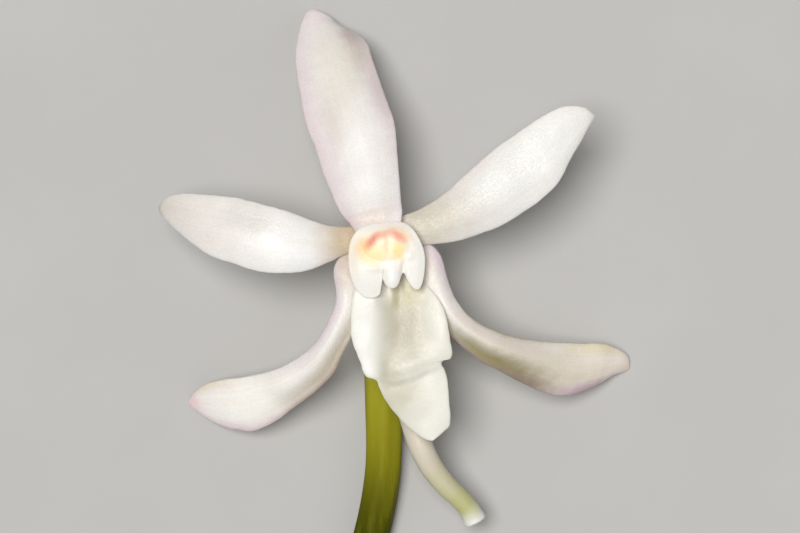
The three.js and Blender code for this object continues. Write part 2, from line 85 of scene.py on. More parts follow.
world = bpy.data.worlds.new("Room")
scene.world = world
world.use_nodes = True
world.node_tree.nodes["Background"].inputs["Color"].default_value = (1.0, 0.985, 0.97, 1)
world.node_tree.nodes["Background"].inputs["Strength"].default_value = 0.2
backdrop = world.node_tree.nodes.new("ShaderNodeBackground")
backdrop.inputs["Color"].default_value = (0.48, 0.47, 0.455, 1)
rays = world.node_tree.nodes.new("ShaderNodeLightPath")
room = world.node_tree.nodes.new("ShaderNodeMixShader")
wires = world.node_tree.links
wires.new(rays.outputs["Is Camera Ray"], room.inputs[0])
wires.new(world.node_tree.nodes["Background"].outputs[0], room.inputs[1])
wires.new(backdrop.outputs[0], room.inputs[2])
wires.new(room.outputs[0], world.node_tree.nodes["World Output"].inputs["Surface"])

scene.view_settings.view_transform = "Standard"

TABLE_REACH = 1.5
table_mesh = bpy.data.meshes.new("table_top")
table_mesh.from_pydata(
    [(x * TABLE_REACH, y * TABLE_REACH, 0) for x, y in ((-1, -1), (1, -1), (1, 1), (-1, 1))],
    [],
    [(0, 1, 2, 3)],
)
table = bpy.data.objects.new("table_top", table_mesh)
scene.collection.objects.link(table)

table_paint = bpy.data.materials.new("Table top")
table_paint.use_nodes = True
nodes = table_paint.node_tree.nodes
links = table_paint.node_tree.links
coordinates = nodes.new("ShaderNodeTexCoord")
mottle = nodes.new("ShaderNodeTexNoise")
mottle.inputs["Scale"].default_value = 90
mottle.inputs["Detail"].default_value = 4
tone = nodes.new("ShaderNodeValToRGB")
tone.color_ramp.elements[0].position = 0.3
tone.color_ramp.elements[0].color = (0.455, 0.45, 0.44, 1)
tone.color_ramp.elements[1].position = 0.7
tone.color_ramp.elements[1].color = (0.475, 0.47, 0.46, 1)
links.new(coordinates.outputs["Object"], mottle.inputs["Vector"])
links.new(mottle.outputs["Fac"], tone.inputs["Fac"])
links.new(tone.outputs["Color"], nodes["Principled BSDF"].inputs["Base Color"])
nodes["Principled BSDF"].inputs["Roughness"].default_value = 0.7
table_mesh.materials.append(table_paint)

# ------------------------------------------------------------------------------------------
# Sepals and petals: five free, fleshy blades that grow from the top of the ovary. They are
# white plant tissue with glistening surface cells, and the sepals have lilac margins.

SURFACE = 0.0
SKIN_SQUARENESS = 0.38  # 1 gives a blade an oval section, and less gives it flatter faces
BLADE_CROWDING = 1.2  # above 1, the rings lie closer together near the tip
BLADE_SWELLING = 0.06  # mm, the soft unevenness of a blade's faces
MARGIN_WAVE = 0.03  # mm, the unevenness of its margins
SEED_STEP = 3.1  # keeps the unevenness of one blade apart from the next
PATCH_SOFTNESS = 0.9
ANY_HEIGHT = 1e6  # a drawn patch reaches through the whole flower


def point_on(points, t):
    """The point at t (0 to 1) of the smooth curve through points."""
    place_on = t * (len(points) - 1)
    i = min(int(place_on), len(points) - 2)
    f = place_on - i
    b, c = Vector(points[i]), Vector(points[i + 1])
    a = Vector(points[i - 1]) if i > 0 else 2 * b - c
    d = Vector(points[i + 2]) if i + 2 < len(points) else 2 * c - b
    linear = (c - a) * f
    square = (2 * a - 5 * b + 4 * c - d) * f**2
    cube = (3 * b - a - 3 * c + d) * f**3
    return 0.5 * (2 * b + linear + square + cube)


def value_on(values, t):
    """The value at t (0 to 1) of a smooth curve through values."""
    return point_on([(v, 0, 0) for v in values], t).x


def smooth(low, high, x):
    """0 at low, 1 at high and a soft step between them."""
    t = min(1.0, max(0.0, (x - low) / (high - low)))
    return t * t * (3 - 2 * t)


def hump(centre, width, x):
    """1 at centre, falling off on both sides."""
    return math.exp(-(((x - centre) / width) ** 2))


def closed_mesh(name, first, rings, last, ring_uvs, end_uvs):
    """A closed mesh in metres from rings of points in the flower's drawing (mm)."""
    count = len(rings[0])
    points = [first] + [p for ring in rings for p in ring] + [last]
    uvs = [end_uvs[0]] + [uv for ring in ring_uvs for uv in ring] + [end_uvs[1]]
    faces = []
    for i in range(count):
        after = (i + 1) % count
        faces.append((0, 1 + i, 1 + after))
        for j in range(len(rings) - 1):
            here = 1 + j * count
            ahead = here + count
            faces.append((here + i, ahead + i, ahead + after, here + after))
        end = 1 + (len(rings) - 1) * count
        faces.append((len(points) - 1, end + after, end + i))
    mesh = bpy.data.meshes.new(name)
    mesh.from_pydata([place(*p) for p in points], [], faces)
    layer = mesh.uv_layers.new(name="Growth")
    for loop in mesh.loops:
        layer.data[loop.index].uv = uvs[loop.vertex_index]
    mesh.polygons.foreach_set("use_smooth", [True] * len(mesh.polygons))
    mesh.update()
    return mesh


def blade_mesh(name, claw, left, right, relief, thickness, seed, rings=160, around=88):
    """A blade between its left and right margins, as seen from base to tip. relief(across, t)
    lifts it, with t from 0 where it comes out from under the column to 1 at its tip. The
    claw holds the stations before that."""
    left = [pair[0] for pair in claw] + left
    right = [pair[1] for pair in claw] + right
    hidden = len(claw) / (len(left) - 1)
    step = 0.01
    ring_points = []
    ring_uvs = []
    for j in range(rings):
        s = 1 - (1 - j / rings) ** BLADE_CROWDING
        t = (s - hidden) / (1 - hidden)
        a, b = point_on(left, s), point_on(right, s)
        ahead = min(max(s + step, 2 * step), 0.999)
        behind = ahead - 2 * step
        along = point_on(left, ahead) - point_on(left, behind)
        along += point_on(right, ahead) - point_on(right, behind)
        normal = (b - a).cross(along).normalized()
        sideways = (b - a).normalized()
        half = 0.5 * thickness(t) * math.sqrt(min(1.0, 5 * (1 - t)))
        ring = []
        uvs = []
        for i in range(around):
            angle = 2 * math.pi * i / around
            across, up = math.cos(angle), math.sin(angle)
            point = a.lerp(b, 0.5 + 0.5 * across)
            point += normal * (half * math.copysign(abs(up) ** SKIN_SQUARENESS, up))
            spot = Vector((point.x, point.y, seed))
            swelling = BLADE_SWELLING * noise.noise(spot * 0.55)
            point += normal * (relief(across, max(t, 0)) + swelling)
            point += sideways * (MARGIN_WAVE * across * abs(across) * noise.noise(spot * 1.9))
            point.z = max(point.z, SURFACE)
            ring.append(point)
            uvs.append((0.5 + 0.5 * across, t))
        ring_points.append(ring)
        ring_uvs.append(uvs)
    first = point_on(left, 0).lerp(point_on(right, 0), 0.5)
    last = point_on(left, 1)
    last.z = max(last.z, SURFACE)
    return closed_mesh(name, first, ring_points, last, ring_uvs, ((0.5, 0), (0.5, 1)))


def finish_piece(name, mesh, node, material):
    """Adds a piece, gives it its material and hides the solid it stands for."""
    piece = bpy.data.objects.new(name, mesh)
    scene.collection.objects.link(piece)
    mesh.materials.append(material)
    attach(piece, "root")
    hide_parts(node)


class Wiring:
    """Short ways to add and join nodes in one node tree."""

    def __init__(self, tree):
        self.tree = tree

    def add(self, kind, **settings):
        node = self.tree.nodes.new(kind)
        for key, value in settings.items():
            setattr(node, key, value)
        return node

    def join(self, value, socket):
        if isinstance(value, bpy.types.NodeSocket):
            self.tree.links.new(value, socket)
        elif socket.type == "RGBA" and len(value) == 3:
            socket.default_value = (*value, 1)
        else:
            socket.default_value = value

    def math(self, operation, a, b=0.0, c=0.0):
        node = self.add("ShaderNodeMath", operation=operation)
        for socket, value in zip(node.inputs, (a, b, c)):
            self.join(value, socket)
        return node.outputs[0]

    def vector(self, operation, a, b=(0, 0, 0)):
        node = self.add("ShaderNodeVectorMath", operation=operation)
        self.join(a, node.inputs[0])
        self.join(b, node.inputs[1])
        return node.outputs["Value" if operation == "LENGTH" else "Vector"]

    def ramp(self, value, low, high, start=0.0, end=1.0):
        node = self.add("ShaderNodeMapRange", interpolation_type="SMOOTHSTEP")
        for socket, number in zip(node.inputs, (value, low, high, start, end)):
            self.join(number, socket)
        return node.outputs[0]

    def blend(self, share, a, b, kind="MIX"):
        node = self.add("ShaderNodeMix", data_type="RGBA", blend_type=kind)
        self.join(share, node.inputs[0])
        self.join(a, node.inputs[6])
        self.join(b, node.inputs[7])
        return node.outputs[2]

    def noise(self, where, scale, detail=3.0, roughness=0.5):
        node = self.add("ShaderNodeTexNoise")
        self.join(where, node.inputs["Vector"])
        self.join(scale, node.inputs["Scale"])
        self.join(detail, node.inputs["Detail"])
        self.join(roughness, node.inputs["Roughness"])
        return node.outputs["Fac"]

    def drawing(self):
        """The place on the flower's drawing, in mm."""
        node = self.add("ShaderNodeMapping")
        self.join(self.add("ShaderNodeTexCoord").outputs["Object"], node.inputs["Vector"])
        self.join(tuple(MIDDLE), node.inputs["Location"])
        self.join((1000, 1000, 1000), node.inputs["Scale"])
        return node.outputs["Vector"]

    def growth(self):
        """The place on a blade or tube: x from side to side and y from base to tip."""
        return self.add("ShaderNodeUVMap", uv_map="Growth").outputs["UV"]


def node_group(name, inputs, outputs):
    """A shader node group with named sockets, and the wiring inside it."""
    group = bpy.data.node_groups.new(name, "ShaderNodeTree")
    for socket, kind in inputs.items():
        group.interface.new_socket(socket, in_out="INPUT", socket_type=kind)
    for socket, kind in outputs.items():
        group.interface.new_socket(socket, in_out="OUTPUT", socket_type=kind)
    wiring = Wiring(group)
    given = wiring.add("NodeGroupInput").outputs
    return group, wiring, given, wiring.add("NodeGroupOutput").inputs


COLOR, NUMBER, VECTOR = "NodeSocketColor", "NodeSocketFloat", "NodeSocketVector"

# A soft, slightly cloudy oval of another colour on the skin.
soft_patch, w, given, result = node_group(
    "Soft patch",
    {"Place": VECTOR, "Centre": VECTOR, "Reach": VECTOR, "Turn": NUMBER, "Edge": NUMBER},
    {"Mask": NUMBER},
)
turned = w.add("ShaderNodeVectorRotate", rotation_type="Z_AXIS")
w.join(w.vector("SUBTRACT", given["Place"], given["Centre"]), turned.inputs["Vector"])
w.join(w.math("MULTIPLY", given["Turn"], -1.0), turned.inputs["Angle"])
distance = w.vector("LENGTH", w.vector("DIVIDE", turned.outputs[0], given["Reach"]))
cloud = w.noise(w.drawing(), 1.3, 3.0)
distance = w.math("MULTIPLY_ADD", w.math("SUBTRACT", cloud, 0.5), 0.3, distance)
w.join(w.ramp(distance, w.math("SUBTRACT", 1.0, given["Edge"]), 1.0, 1.0, 0.0), result["Mask"])

# The glistening skin of living tissue: fine surface cells, faint nerves and uneven tone.
living_skin, w, given, result = node_group(
    "Living skin",
    {"Color": COLOR, "Grain": NUMBER, "Streaks": NUMBER},
    {"Color": COLOR, "Roughness": NUMBER, "Height": NUMBER},
)
in_mm = w.drawing()
grain = w.noise(in_mm, 8.0, 2.0, 0.6)
cloud = w.noise(in_mm, 0.9, 3.0)
cells = w.add("ShaderNodeTexVoronoi", feature="SMOOTH_F1")
w.join(in_mm, cells.inputs["Vector"])
w.join(7.5, cells.inputs["Scale"])
cell_tops = w.ramp(cells.outputs["Distance"], 0.05, 0.7, 1.0, 0.0)
lengthwise = w.noise(w.vector("MULTIPLY", w.growth(), (16.0, 1.6, 1.0)), 1.0, 4.0, 0.6)
streak = w.math("MULTIPLY", w.ramp(lengthwise, 0.4, 0.7), given["Streaks"])
color = w.blend(
    w.math("MULTIPLY", w.ramp(grain, 0.35, 0.7), given["Grain"]),
    given["Color"], (0.925, 0.92, 0.918), "MULTIPLY",
)
color = w.blend(w.ramp(cloud, 0.35, 0.65, 0.0, 0.5), color, (0.965, 0.96, 0.95), "MULTIPLY")
color = w.blend(streak, color, (0.88, 0.85, 0.78), "MULTIPLY")
w.join(color, result["Color"])
w.join(w.ramp(grain, 0.3, 0.7, 0.34, 0.5), result["Roughness"])
height = w.math("MULTIPLY_ADD", cell_tops, 0.5, w.math("MULTIPLY", grain, 0.5))
w.join(w.math("MULTIPLY_ADD", streak, -0.6, height), result["Height"])


def wear_skin(w, skin, relief, depth, share, colors, shine):
    """Joins a skin to the material's own shader. Its cells stand out by relief (mm), and a
    share of the light goes in by about depth (mm), more or less far by color."""
    shader = w.tree.nodes["Principled BSDF"]
    bump = w.add("ShaderNodeBump")
    w.join(skin.outputs["Height"], bump.inputs["Height"])
    w.join(relief * MM, bump.inputs["Distance"])
    w.join(skin.outputs["Color"], shader.inputs["Base Color"])
    w.join(skin.outputs["Roughness"], shader.inputs["Roughness"])
    w.join(bump.outputs["Normal"], shader.inputs["Normal"])
    shader.inputs["Subsurface Weight"].default_value = share
    shader.inputs["Subsurface Radius"].default_value = colors
    shader.inputs["Subsurface Scale"].default_value = depth * MM
    shader.inputs["Specular IOR Level"].default_value = shine


def tissue(
    name, body, growth=(), drawn=(), relief=0.02, depth=0.25, grain=0.8, streaks=0.3, shine=0.45
):
    """Moist, slightly see-through plant tissue; light goes in by about depth (mm). A patch is
    its centre, reach, turn in degrees, colour and strength. Growth patches are placed from
    side to side and from base to tip, 0 to 1 each; drawn patches on the drawing in mm."""
    material = bpy.data.materials.new(name)
    material.use_nodes = True
    w = Wiring(material.node_tree)
    color = body
    for where, patches in ((w.drawing(), drawn), (w.growth(), growth)):
        for centre, reach, turn, tint, strength in patches:
            patch = w.add("ShaderNodeGroup", node_tree=soft_patch)
            w.join(where, patch.inputs["Place"])
            w.join((*centre, 0), patch.inputs["Centre"])
            w.join((*reach, ANY_HEIGHT), patch.inputs["Reach"])
            w.join(math.radians(turn), patch.inputs["Turn"])
            w.join(PATCH_SOFTNESS, patch.inputs["Edge"])
            color = w.blend(w.math("MULTIPLY", patch.outputs["Mask"], strength), color, tint)
    skin = w.add("ShaderNodeGroup", node_tree=living_skin)
    w.join(color, skin.inputs["Color"])
    w.join(grain, skin.inputs["Grain"])
    w.join(streaks, skin.inputs["Streaks"])
    wear_skin(w, skin, relief, depth, share=0.5, colors=(1.0, 0.9, 0.75), shine=shine)
    return material


WHITE = (0.885, 0.87, 0.845)


def dorsal_relief(across, t):
    arch = value_on([0.15, 0.45, 0.6, 0.6, 0.55, 0.45, 0.35, 0.2, 0], t) * (1 - across * across)
    trough = 0.2 * hump(-0.35, 0.3, across) * hump(0.5, 0.12, t)
    ridge = 0.12 * hump(0.2, 0.35, across) * hump(0.35, 0.2, t)
    shoulder = 0.15 * hump(0.85, 0.3, across) * hump(0.68, 0.1, t)
    return arch - trough + ridge - shoulder


def left_petal_relief(across, t):
    arch = value_on([0.1, 0.3, 0.5, 0.5, 0.45, 0.35, 0.25, 0.15, 0], t) * (1 - across * across)
    hollow = 0.1 * hump(0.45, 0.35, across) * hump(0.5, 0.14, t)
    return arch - hollow + 0.12 * hump(-0.45, 0.5, across) * hump(0.37, 0.18, t)


def right_petal_relief(across, t):
    arch = value_on([0.1, 0.25, 0.4, 0.45, 0.4, 0.35, 0.25, 0.15, 0], t) * (1 - across * across)
    return arch - 0.06 * hump(0.1, 0.35, across) * hump(0.7, 0.2, t)


def lateral_relief(across, t, fold_side, fold_place, fold_end, fold_reach):
    """A keel along the blade, with a soft fold on one side of it."""
    side = across * fold_side
    arch = value_on([0.15, 0.35, 0.5, 0.6, 0.7, 0.65, 0.5, 0.25, 0], t) * (1 - across * across)
    deep = smooth(0.15, 0.4, t) * smooth(fold_end, fold_end - 0.35, t)
    fall = smooth(fold_place - 0.7 * fold_reach, fold_place + 0.3 * fold_reach, side)
    return arch - deep * (0.43 * fall - 0.12 * smooth(0.6, 1.0, side))


tepals = {
    "dorsal_sepal": dict(
        claw=[
            ((-1.87, 1.58, 6.4), (-0.79, 2.08, 6.4)),
            ((-2.07, 1.65, 7.6), (-0.71, 2.29, 7.6)),
            ((-2.40, 1.75, 8.5), (-0.50, 2.40, 8.5)),
        ],
        left=[
            (-2.87, 2.17, 9.1), (-3.34, 2.84, 9.3), (-3.67, 3.17, 9.05), (-4.10, 3.78, 8.55),
            (-4.61, 4.96, 8.0), (-5.12, 6.15, 7.4), (-5.64, 7.84, 6.8), (-6.32, 9.55, 6.1),
            (-6.68, 11.27, 5.2), (-6.97, 12.84, 4.3), (-7.13, 14.26, 3.3), (-7.02, 15.52, 2.3),
            (-6.78, 16.60, 1.4), (-6.61, 17.12, 0.85), (-6.45, 17.49, 0.4), (-6.22, 17.75, -0.05),
        ],
        right=[
            (-0.13, 2.30, 9.1), (0.15, 3.37, 9.3), (0.12, 3.97, 9.05), (0.03, 4.92, 8.55),
            (-0.07, 6.27, 8.0), (-0.18, 7.76, 7.4), (-0.37, 9.66, 6.8), (-0.88, 11.17, 6.1),
            (-1.39, 12.63, 5.2), (-1.90, 14.17, 4.3), (-2.25, 15.25, 3.3), (-2.91, 15.89, 2.3),
            (-4.06, 16.46, 1.4), (-4.89, 17.19, 0.85), (-5.59, 17.58, 0.4), (-6.22, 17.75, -0.05),
        ],
        relief=dorsal_relief,
        slot="sepal",
        growth=[
            ((-0.05, 0.42), (0.45, 0.62), 0, (0.75, 0.65, 0.685), 0.85),
            ((1.05, 0.35), (0.35, 0.5), 0, (0.81, 0.73, 0.76), 0.3),
            ((1.03, 0.5), (0.32, 0.26), 0, (0.68, 0.58, 0.605), 0.8),
            ((-0.05, 0.04), (0.35, 0.2), 0, (0.70, 0.56, 0.58), 0.8),
            ((1.05, 0.08), (0.34, 0.25), 0, (0.98, 0.90, 0.93), 0.8),
            ((0.4, 1.02), (0.8, 0.36), 0, (0.96, 0.79, 0.88), 0.95),
        ],
        drawn=[
            # Painted shade: the upper half, its right shoulder, a trough left of the middle and
            # the upper right side are darker where the sepal falls away from the light.
            ((-4.3, 13.2), (2.6, 5.2), 12, (0.81, 0.775, 0.70), 0.8),
            ((-2.6, 14.6), (1.8, 3.0), 15, (0.64, 0.58, 0.49), 0.75),
            ((-4.7, 9.6), (1.2, 3.6), 14, (0.73, 0.68, 0.61), 0.6),
            ((-1.4, 11.6), (1.0, 3.0), 15, (0.75, 0.71, 0.66), 0.6),
            ((-3.4, 15.7), (1.5, 0.9), -35, (0.64, 0.52, 0.53), 0.75),
            # Painted light: the lower middle, which faces the light, is lighter.
            ((-2.1, 6.6), (1.7, 3.6), 10, (0.95, 0.935, 0.915), 0.8),
            ((-1.0, 3.4), (2.2, 1.2), 0, (0.83, 0.745, 0.70), 0.7),
            ((-2.1, 3.1), (1.7, 1.0), 0, (0.74, 0.645, 0.56), 0.75),
        ],
    ),
    "left_petal": dict(
        claw=[
            ((-2.16, 0.65, 6.4), (-1.60, 1.81, 6.4)),
            ((-2.65, 0.84, 7.5), (-2.20, 2.18, 7.5)),
        ],
        left=[
            (-3.09, 0.97, 8.2), (-4.03, 0.64, 8.35), (-5.02, 0.17, 8.6), (-6.01, -0.23, 8.85),
            (-7.00, -0.41, 9.05), (-8.00, -0.45, 9.2), (-9.00, -0.39, 9.2), (-10.00, -0.18, 9.05),
            (-11.01, 0.17, 8.8), (-12.37, 0.60, 8.3), (-13.61, 1.32, 7.7), (-14.66, 2.15, 7),
            (-15.50, 2.88, 6.4), (-16.04, 3.44, 5.9), (-16.28, 3.96, 5.6),
        ],
        right=[
            (-3.09, 2.65, 8.2), (-4.03, 2.68, 8.35), (-5.02, 2.78, 8.6), (-6.01, 3.11, 8.85),
            (-7.00, 3.51, 9.05), (-8.00, 3.84, 9.2), (-9.00, 4.10, 9.2), (-10.00, 4.38, 9.05),
            (-11.01, 4.61, 8.8), (-12.37, 4.75, 8.3), (-13.61, 4.87, 7.7), (-14.72, 4.89, 7),
            (-15.50, 4.73, 6.4), (-16.04, 4.36, 5.9), (-16.28, 3.96, 5.6),
        ],
        relief=left_petal_relief,
        slot="petal",
        growth=[
            ((0.5, 1.0), (0.9, 0.16), 0, (0.50, 0.46, 0.41), 0.85),
            ((1.05, 0.75), (0.25, 0.4), 0, (0.74, 0.71, 0.66), 0.5),
        ],
        drawn=[
            ((-13.6, 3.2), (4.6, 3.4), -20, (0.79, 0.75, 0.71), 0.75),
            # Painted shade in the hollow near the upper edge.
            ((-10.2, 3.3), (2.6, 1.7), -15, (0.67, 0.65, 0.61), 0.7),
            # Painted light: a broad bright area where the petal faces the light, brightest
            # towards its lower side.
            ((-7.5, 0.9), (3.2, 2.6), 0, (0.94, 0.935, 0.92), 0.95),
            ((-6.9, 0.2), (2.3, 1.5), 0, (1.0, 0.995, 0.985), 0.85),
            ((-15.7, 4.0), (2.4, 1.7), -20, (0.68, 0.64, 0.59), 0.6),
            # Partly the beige of the base, partly painted shade where it lies under the column.
            ((-3.1, 1.9), (3.3, 3.6), 0, (0.61, 0.49, 0.33), 0.95),
        ],
    ),
    "right_petal": dict(
        claw=[
            ((-0.69, 2.04, 6.4), (0.33, 1.42, 6.4)),
            ((-0.55, 2.45, 7.5), (0.48, 1.55, 7.5)),
        ],
        left=[
            (-0.27, 2.99, 8.2), (0.17, 3.39, 8.35), (1.01, 3.70, 8.45), (1.84, 4.12, 8.5),
            (2.68, 4.66, 8.55), (3.41, 5.21, 8.6), (4.17, 5.95, 8.7), (5.01, 6.69, 8.8),
            (5.83, 7.44, 8.9), (6.67, 8.11, 8.95), (7.50, 8.68, 9), (8.34, 9.27, 9),
            (9.17, 9.81, 8.95), (10.01, 10.30, 8.9), (10.75, 10.63, 8.8), (11.58, 10.72, 8.65),
            (12.30, 10.61, 8.5), (12.73, 10.34, 8.35), (13.05, 10.04, 8.2),
        ],
        right=[
            (0.54, 1.51, 8.2), (1.34, 1.41, 8.35), (2.41, 1.50, 8.45), (3.48, 1.63, 8.5),
            (4.48, 1.87, 8.55), (5.48, 2.23, 8.6), (6.48, 2.59, 8.7), (7.28, 3.01, 8.8),
            (8.07, 3.52, 8.9), (8.87, 4.04, 8.95), (9.67, 4.68, 9), (10.37, 5.36, 9),
            (10.80, 5.97, 8.95), (11.17, 6.74, 8.9), (11.61, 7.58, 8.8), (12.09, 8.38, 8.65),
            (12.53, 9.20, 8.5), (12.83, 9.69, 8.35), (13.05, 10.04, 8.2),
        ],
        relief=right_petal_relief,
        slot="petal",
        growth=[
            ((0.0, 0.35), (0.3, 0.3), 0, (0.80, 0.72, 0.70), 0.4),
        ],
        drawn=[
            ((7.0, 6.0), (6.0, 4.0), 42, (0.79, 0.795, 0.77), 0.9),
            ((10.2, 8.2), (3.6, 2.6), 45, (0.865, 0.875, 0.855), 0.85),
            # Partly the greenish beige of the base, partly painted shade where it lies under the
            # column.
            ((4.6, 2.6), (4.0, 1.5), 25, (0.79, 0.775, 0.74), 0.5),
            ((1.4, 2.9), (5.6, 3.3), 25, (0.585, 0.54, 0.435), 0.9),
            ((4.9, 6.2), (2.4, 1.0), 40, (0.84, 0.83, 0.80), 0.6),
        ],
    ),
    "left_lateral_sepal": dict(
        claw=[
            ((-1.64, -0.35, 6.4), (-2.14, 0.73, 6.4)),
            ((-1.78, -0.15, 7.3), (-2.83, 0.81, 7.3)),
        ],
        left=[
            (-1.92, -0.02, 7.9), (-2.15, -0.25, 8.1), (-2.42, -0.85, 8.1), (-2.45, -1.58, 8.1),
            (-2.50, -2.38, 8.05), (-2.60, -3.32, 8.0), (-2.90, -4.13, 7.9), (-3.33, -4.94, 7.7),
            (-3.90, -6.02, 7.3), (-4.42, -7.12, 6.7), (-5.27, -8.08, 6.0), (-6.28, -8.93, 5.2),
            (-7.41, -9.76, 4.1), (-8.67, -10.67, 3.2), (-10.00, -11.24, 2.3),
            (-11.41, -11.14, 1.5), (-12.74, -10.74, 0.85), (-13.81, -10.07, 0.35),
            (-14.66, -9.45, -0.05),
        ],
        right=[
            (-3.56, 0.84, 8.0), (-4.13, 0.50, 8.1), (-4.39, 0.03, 8.1), (-4.44, -0.57, 8.1),
            (-4.32, -1.38, 8.05), (-4.28, -2.18, 8.0), (-4.51, -3.06, 7.9), (-5.01, -4.13, 7.7),
            (-5.63, -5.04, 7.3), (-6.41, -5.81, 6.7), (-7.34, -6.44, 6.0), (-8.44, -6.97, 5.2),
            (-9.56, -7.30, 4.1), (-10.68, -7.54, 3.2), (-11.78, -7.70, 2.3),
            (-12.78, -7.88, 1.5), (-13.51, -8.21, 0.85), (-14.15, -8.69, 0.35),
            (-14.66, -9.45, -0.05),
        ],
        relief=lambda across, t: lateral_relief(across, t, -1, 0.35, 0.85, 1.2),
        slot="sepal",
        growth=[
            # Partly an olive tint, partly painted shade along the keel and fold.
            ((0.5, 0.4), (0.6, 0.3), 0, (0.85, 0.825, 0.78), 0.8),
            # Painted light: the broad end is lighter to make up for its slope away from the
            # light.
            ((0.45, 0.71), (0.8, 0.22), 0, (1.0, 0.98, 0.92), 0.95),
            # Partly an olive tint, partly painted shade on the fold below the keel.
            ((0.17, 0.48), (0.42, 0.28), 0, (0.70, 0.63, 0.50), 0.85),
            ((-0.02, 0.55), (0.2, 0.3), 0, (0.62, 0.46, 0.40), 0.8),
            ((1.02, 0.3), (0.4, 0.45), 0, (0.80, 0.70, 0.75), 0.85),
            ((1.0, 0.88), (0.25, 0.2), 0, (0.76, 0.67, 0.51), 0.75),
            ((-0.02, 0.82), (0.3, 0.2), 0, (0.80, 0.65, 0.72), 0.85),
            # Painted shade at the base, under the column and the petal.
            ((0.5, 0.0), (1.2, 0.3), 0, (0.57, 0.455, 0.37), 0.85),
            ((0.5, 1.0), (0.8, 0.14), 0, (0.78, 0.56, 0.58), 0.85),
        ],
        drawn=[],
    ),
    "right_lateral_sepal": dict(
        claw=[
            ((0.52, 0.97, 6.4), (0.20, -0.19, 6.4)),
            ((1.18, 1.22, 7.3), (0.32, -0.05, 7.2)),
        ],
        left=[
            (1.88, 1.50, 8.1), (2.31, 1.29, 8.3), (2.68, 0.84, 8.3), (2.89, 0.30, 8.2),
            (3.07, -0.37, 8.1), (3.26, -1.07, 8.0), (3.71, -2.15, 7.9), (4.37, -3.07, 7.7),
            (5.32, -3.83, 7.3), (6.44, -4.35, 6.8), (7.50, -4.71, 6.2), (8.60, -4.95, 5.5),
            (9.88, -5.12, 4.6), (11.24, -5.20, 3.8), (12.41, -5.27, 3), (13.57, -5.26, 2.2),
            (14.54, -5.48, 1.4), (15.28, -5.82, 0.8), (15.74, -6.35, 0.3), (15.86, -7.12, -0.05),
        ],
        right=[
            (0.38, -0.05, 7.7), (0.60, -0.45, 7.8), (0.94, -1.11, 7.8), (1.27, -1.78, 7.8),
            (1.61, -2.45, 7.8), (2.01, -3.12, 7.75), (2.48, -3.86, 7.7), (3.16, -4.54, 7.5),
            (4.17, -5.42, 7.2), (5.46, -6.42, 6.7), (6.64, -7.00, 6.1), (7.78, -7.61, 5.4),
            (8.94, -8.19, 4.6), (10.08, -8.67, 3.8), (11.34, -8.83, 3), (12.61, -8.50, 2.2),
            (13.71, -8.01, 1.4), (14.61, -7.49, 0.8), (15.33, -7.26, 0.3), (15.86, -7.12, -0.05),
        ],
        relief=lambda across, t: lateral_relief(across, t, 1, 0.3, 0.9, 0.95),
        slot="sepal",
        growth=[
            ((0.5, 0.0), (1.2, 0.3), 0, (0.80, 0.72, 0.61), 0.85),
            # Painted light: the broad end is lighter to make up for its slope away from the
            # light.
            ((0.5, 0.85), (0.8, 0.3), 0, (0.99, 0.90, 0.80), 0.9),
            ((0.5, 0.6), (0.8, 0.3), 0, (0.75, 0.69, 0.57), 0.8),
            ((0.2, 0.45), (0.35, 0.28), 0, (0.79, 0.70, 0.63), 0.7),
            # Painted shade, tinted olive: a dark band below the keel where the sepal falls away
            # from the light.
            ((0.85, 0.5), (0.55, 0.27), 0, (0.355, 0.305, 0.145), 0.95),
            ((1.03, 0.4), (0.22, 0.25), 0, (0.42, 0.32, 0.33), 0.8),
            # Painted shade where the lower margin curls away from the light.
            ((1.0, 0.61), (0.34, 0.14), 0, (0.31, 0.225, 0.19), 0.75),
            ((1.0, 0.78), (0.38, 0.15), 0, (0.60, 0.43, 0.50), 0.9),
            ((0.0, 0.12), (0.4, 0.27), 0, (0.70, 0.59, 0.66), 0.9),
            ((-0.02, 0.5), (0.14, 0.2), 0, (0.66, 0.60, 0.42), 0.7),
            ((0.0, 0.8), (0.34, 0.2), 0, (0.86, 0.78, 0.56), 0.85),
            ((0.5, 1.0), (0.9, 0.12), 0, (0.90, 0.74, 0.66), 0.8),
        ],
        drawn=[],
    ),
}


def tepal_thickness(t):
    return 0.75 - 0.25 * min(1, max(0, 3 * t))


for seed, (name, tepal) in enumerate(tepals.items()):
    claw, left, right = tepal["claw"], tepal["left"], tepal["right"]
    own_seed = seed * SEED_STEP
    mesh = blade_mesh(name, claw, left, right, tepal["relief"], tepal_thickness, own_seed)
    streaks, shine = (0.3, 0.3) if "lateral" in name else (0.2, 0.45)
    material = tissue(
        name + " tissue", WHITE, tepal["growth"], tepal["drawn"], streaks=streaks, shine=shine
    )
    finish_piece(name + "_blade", mesh, name, material)

# ------------------------------------------------------------------------------------------
# Lip: one thick, creamy organ. Its plate has two side lobes beside a channel that ends in a
# cross fold, the mid-lobe hangs from that fold, and the spur runs back behind both. Left and
# right are as seen from the front of the flower.

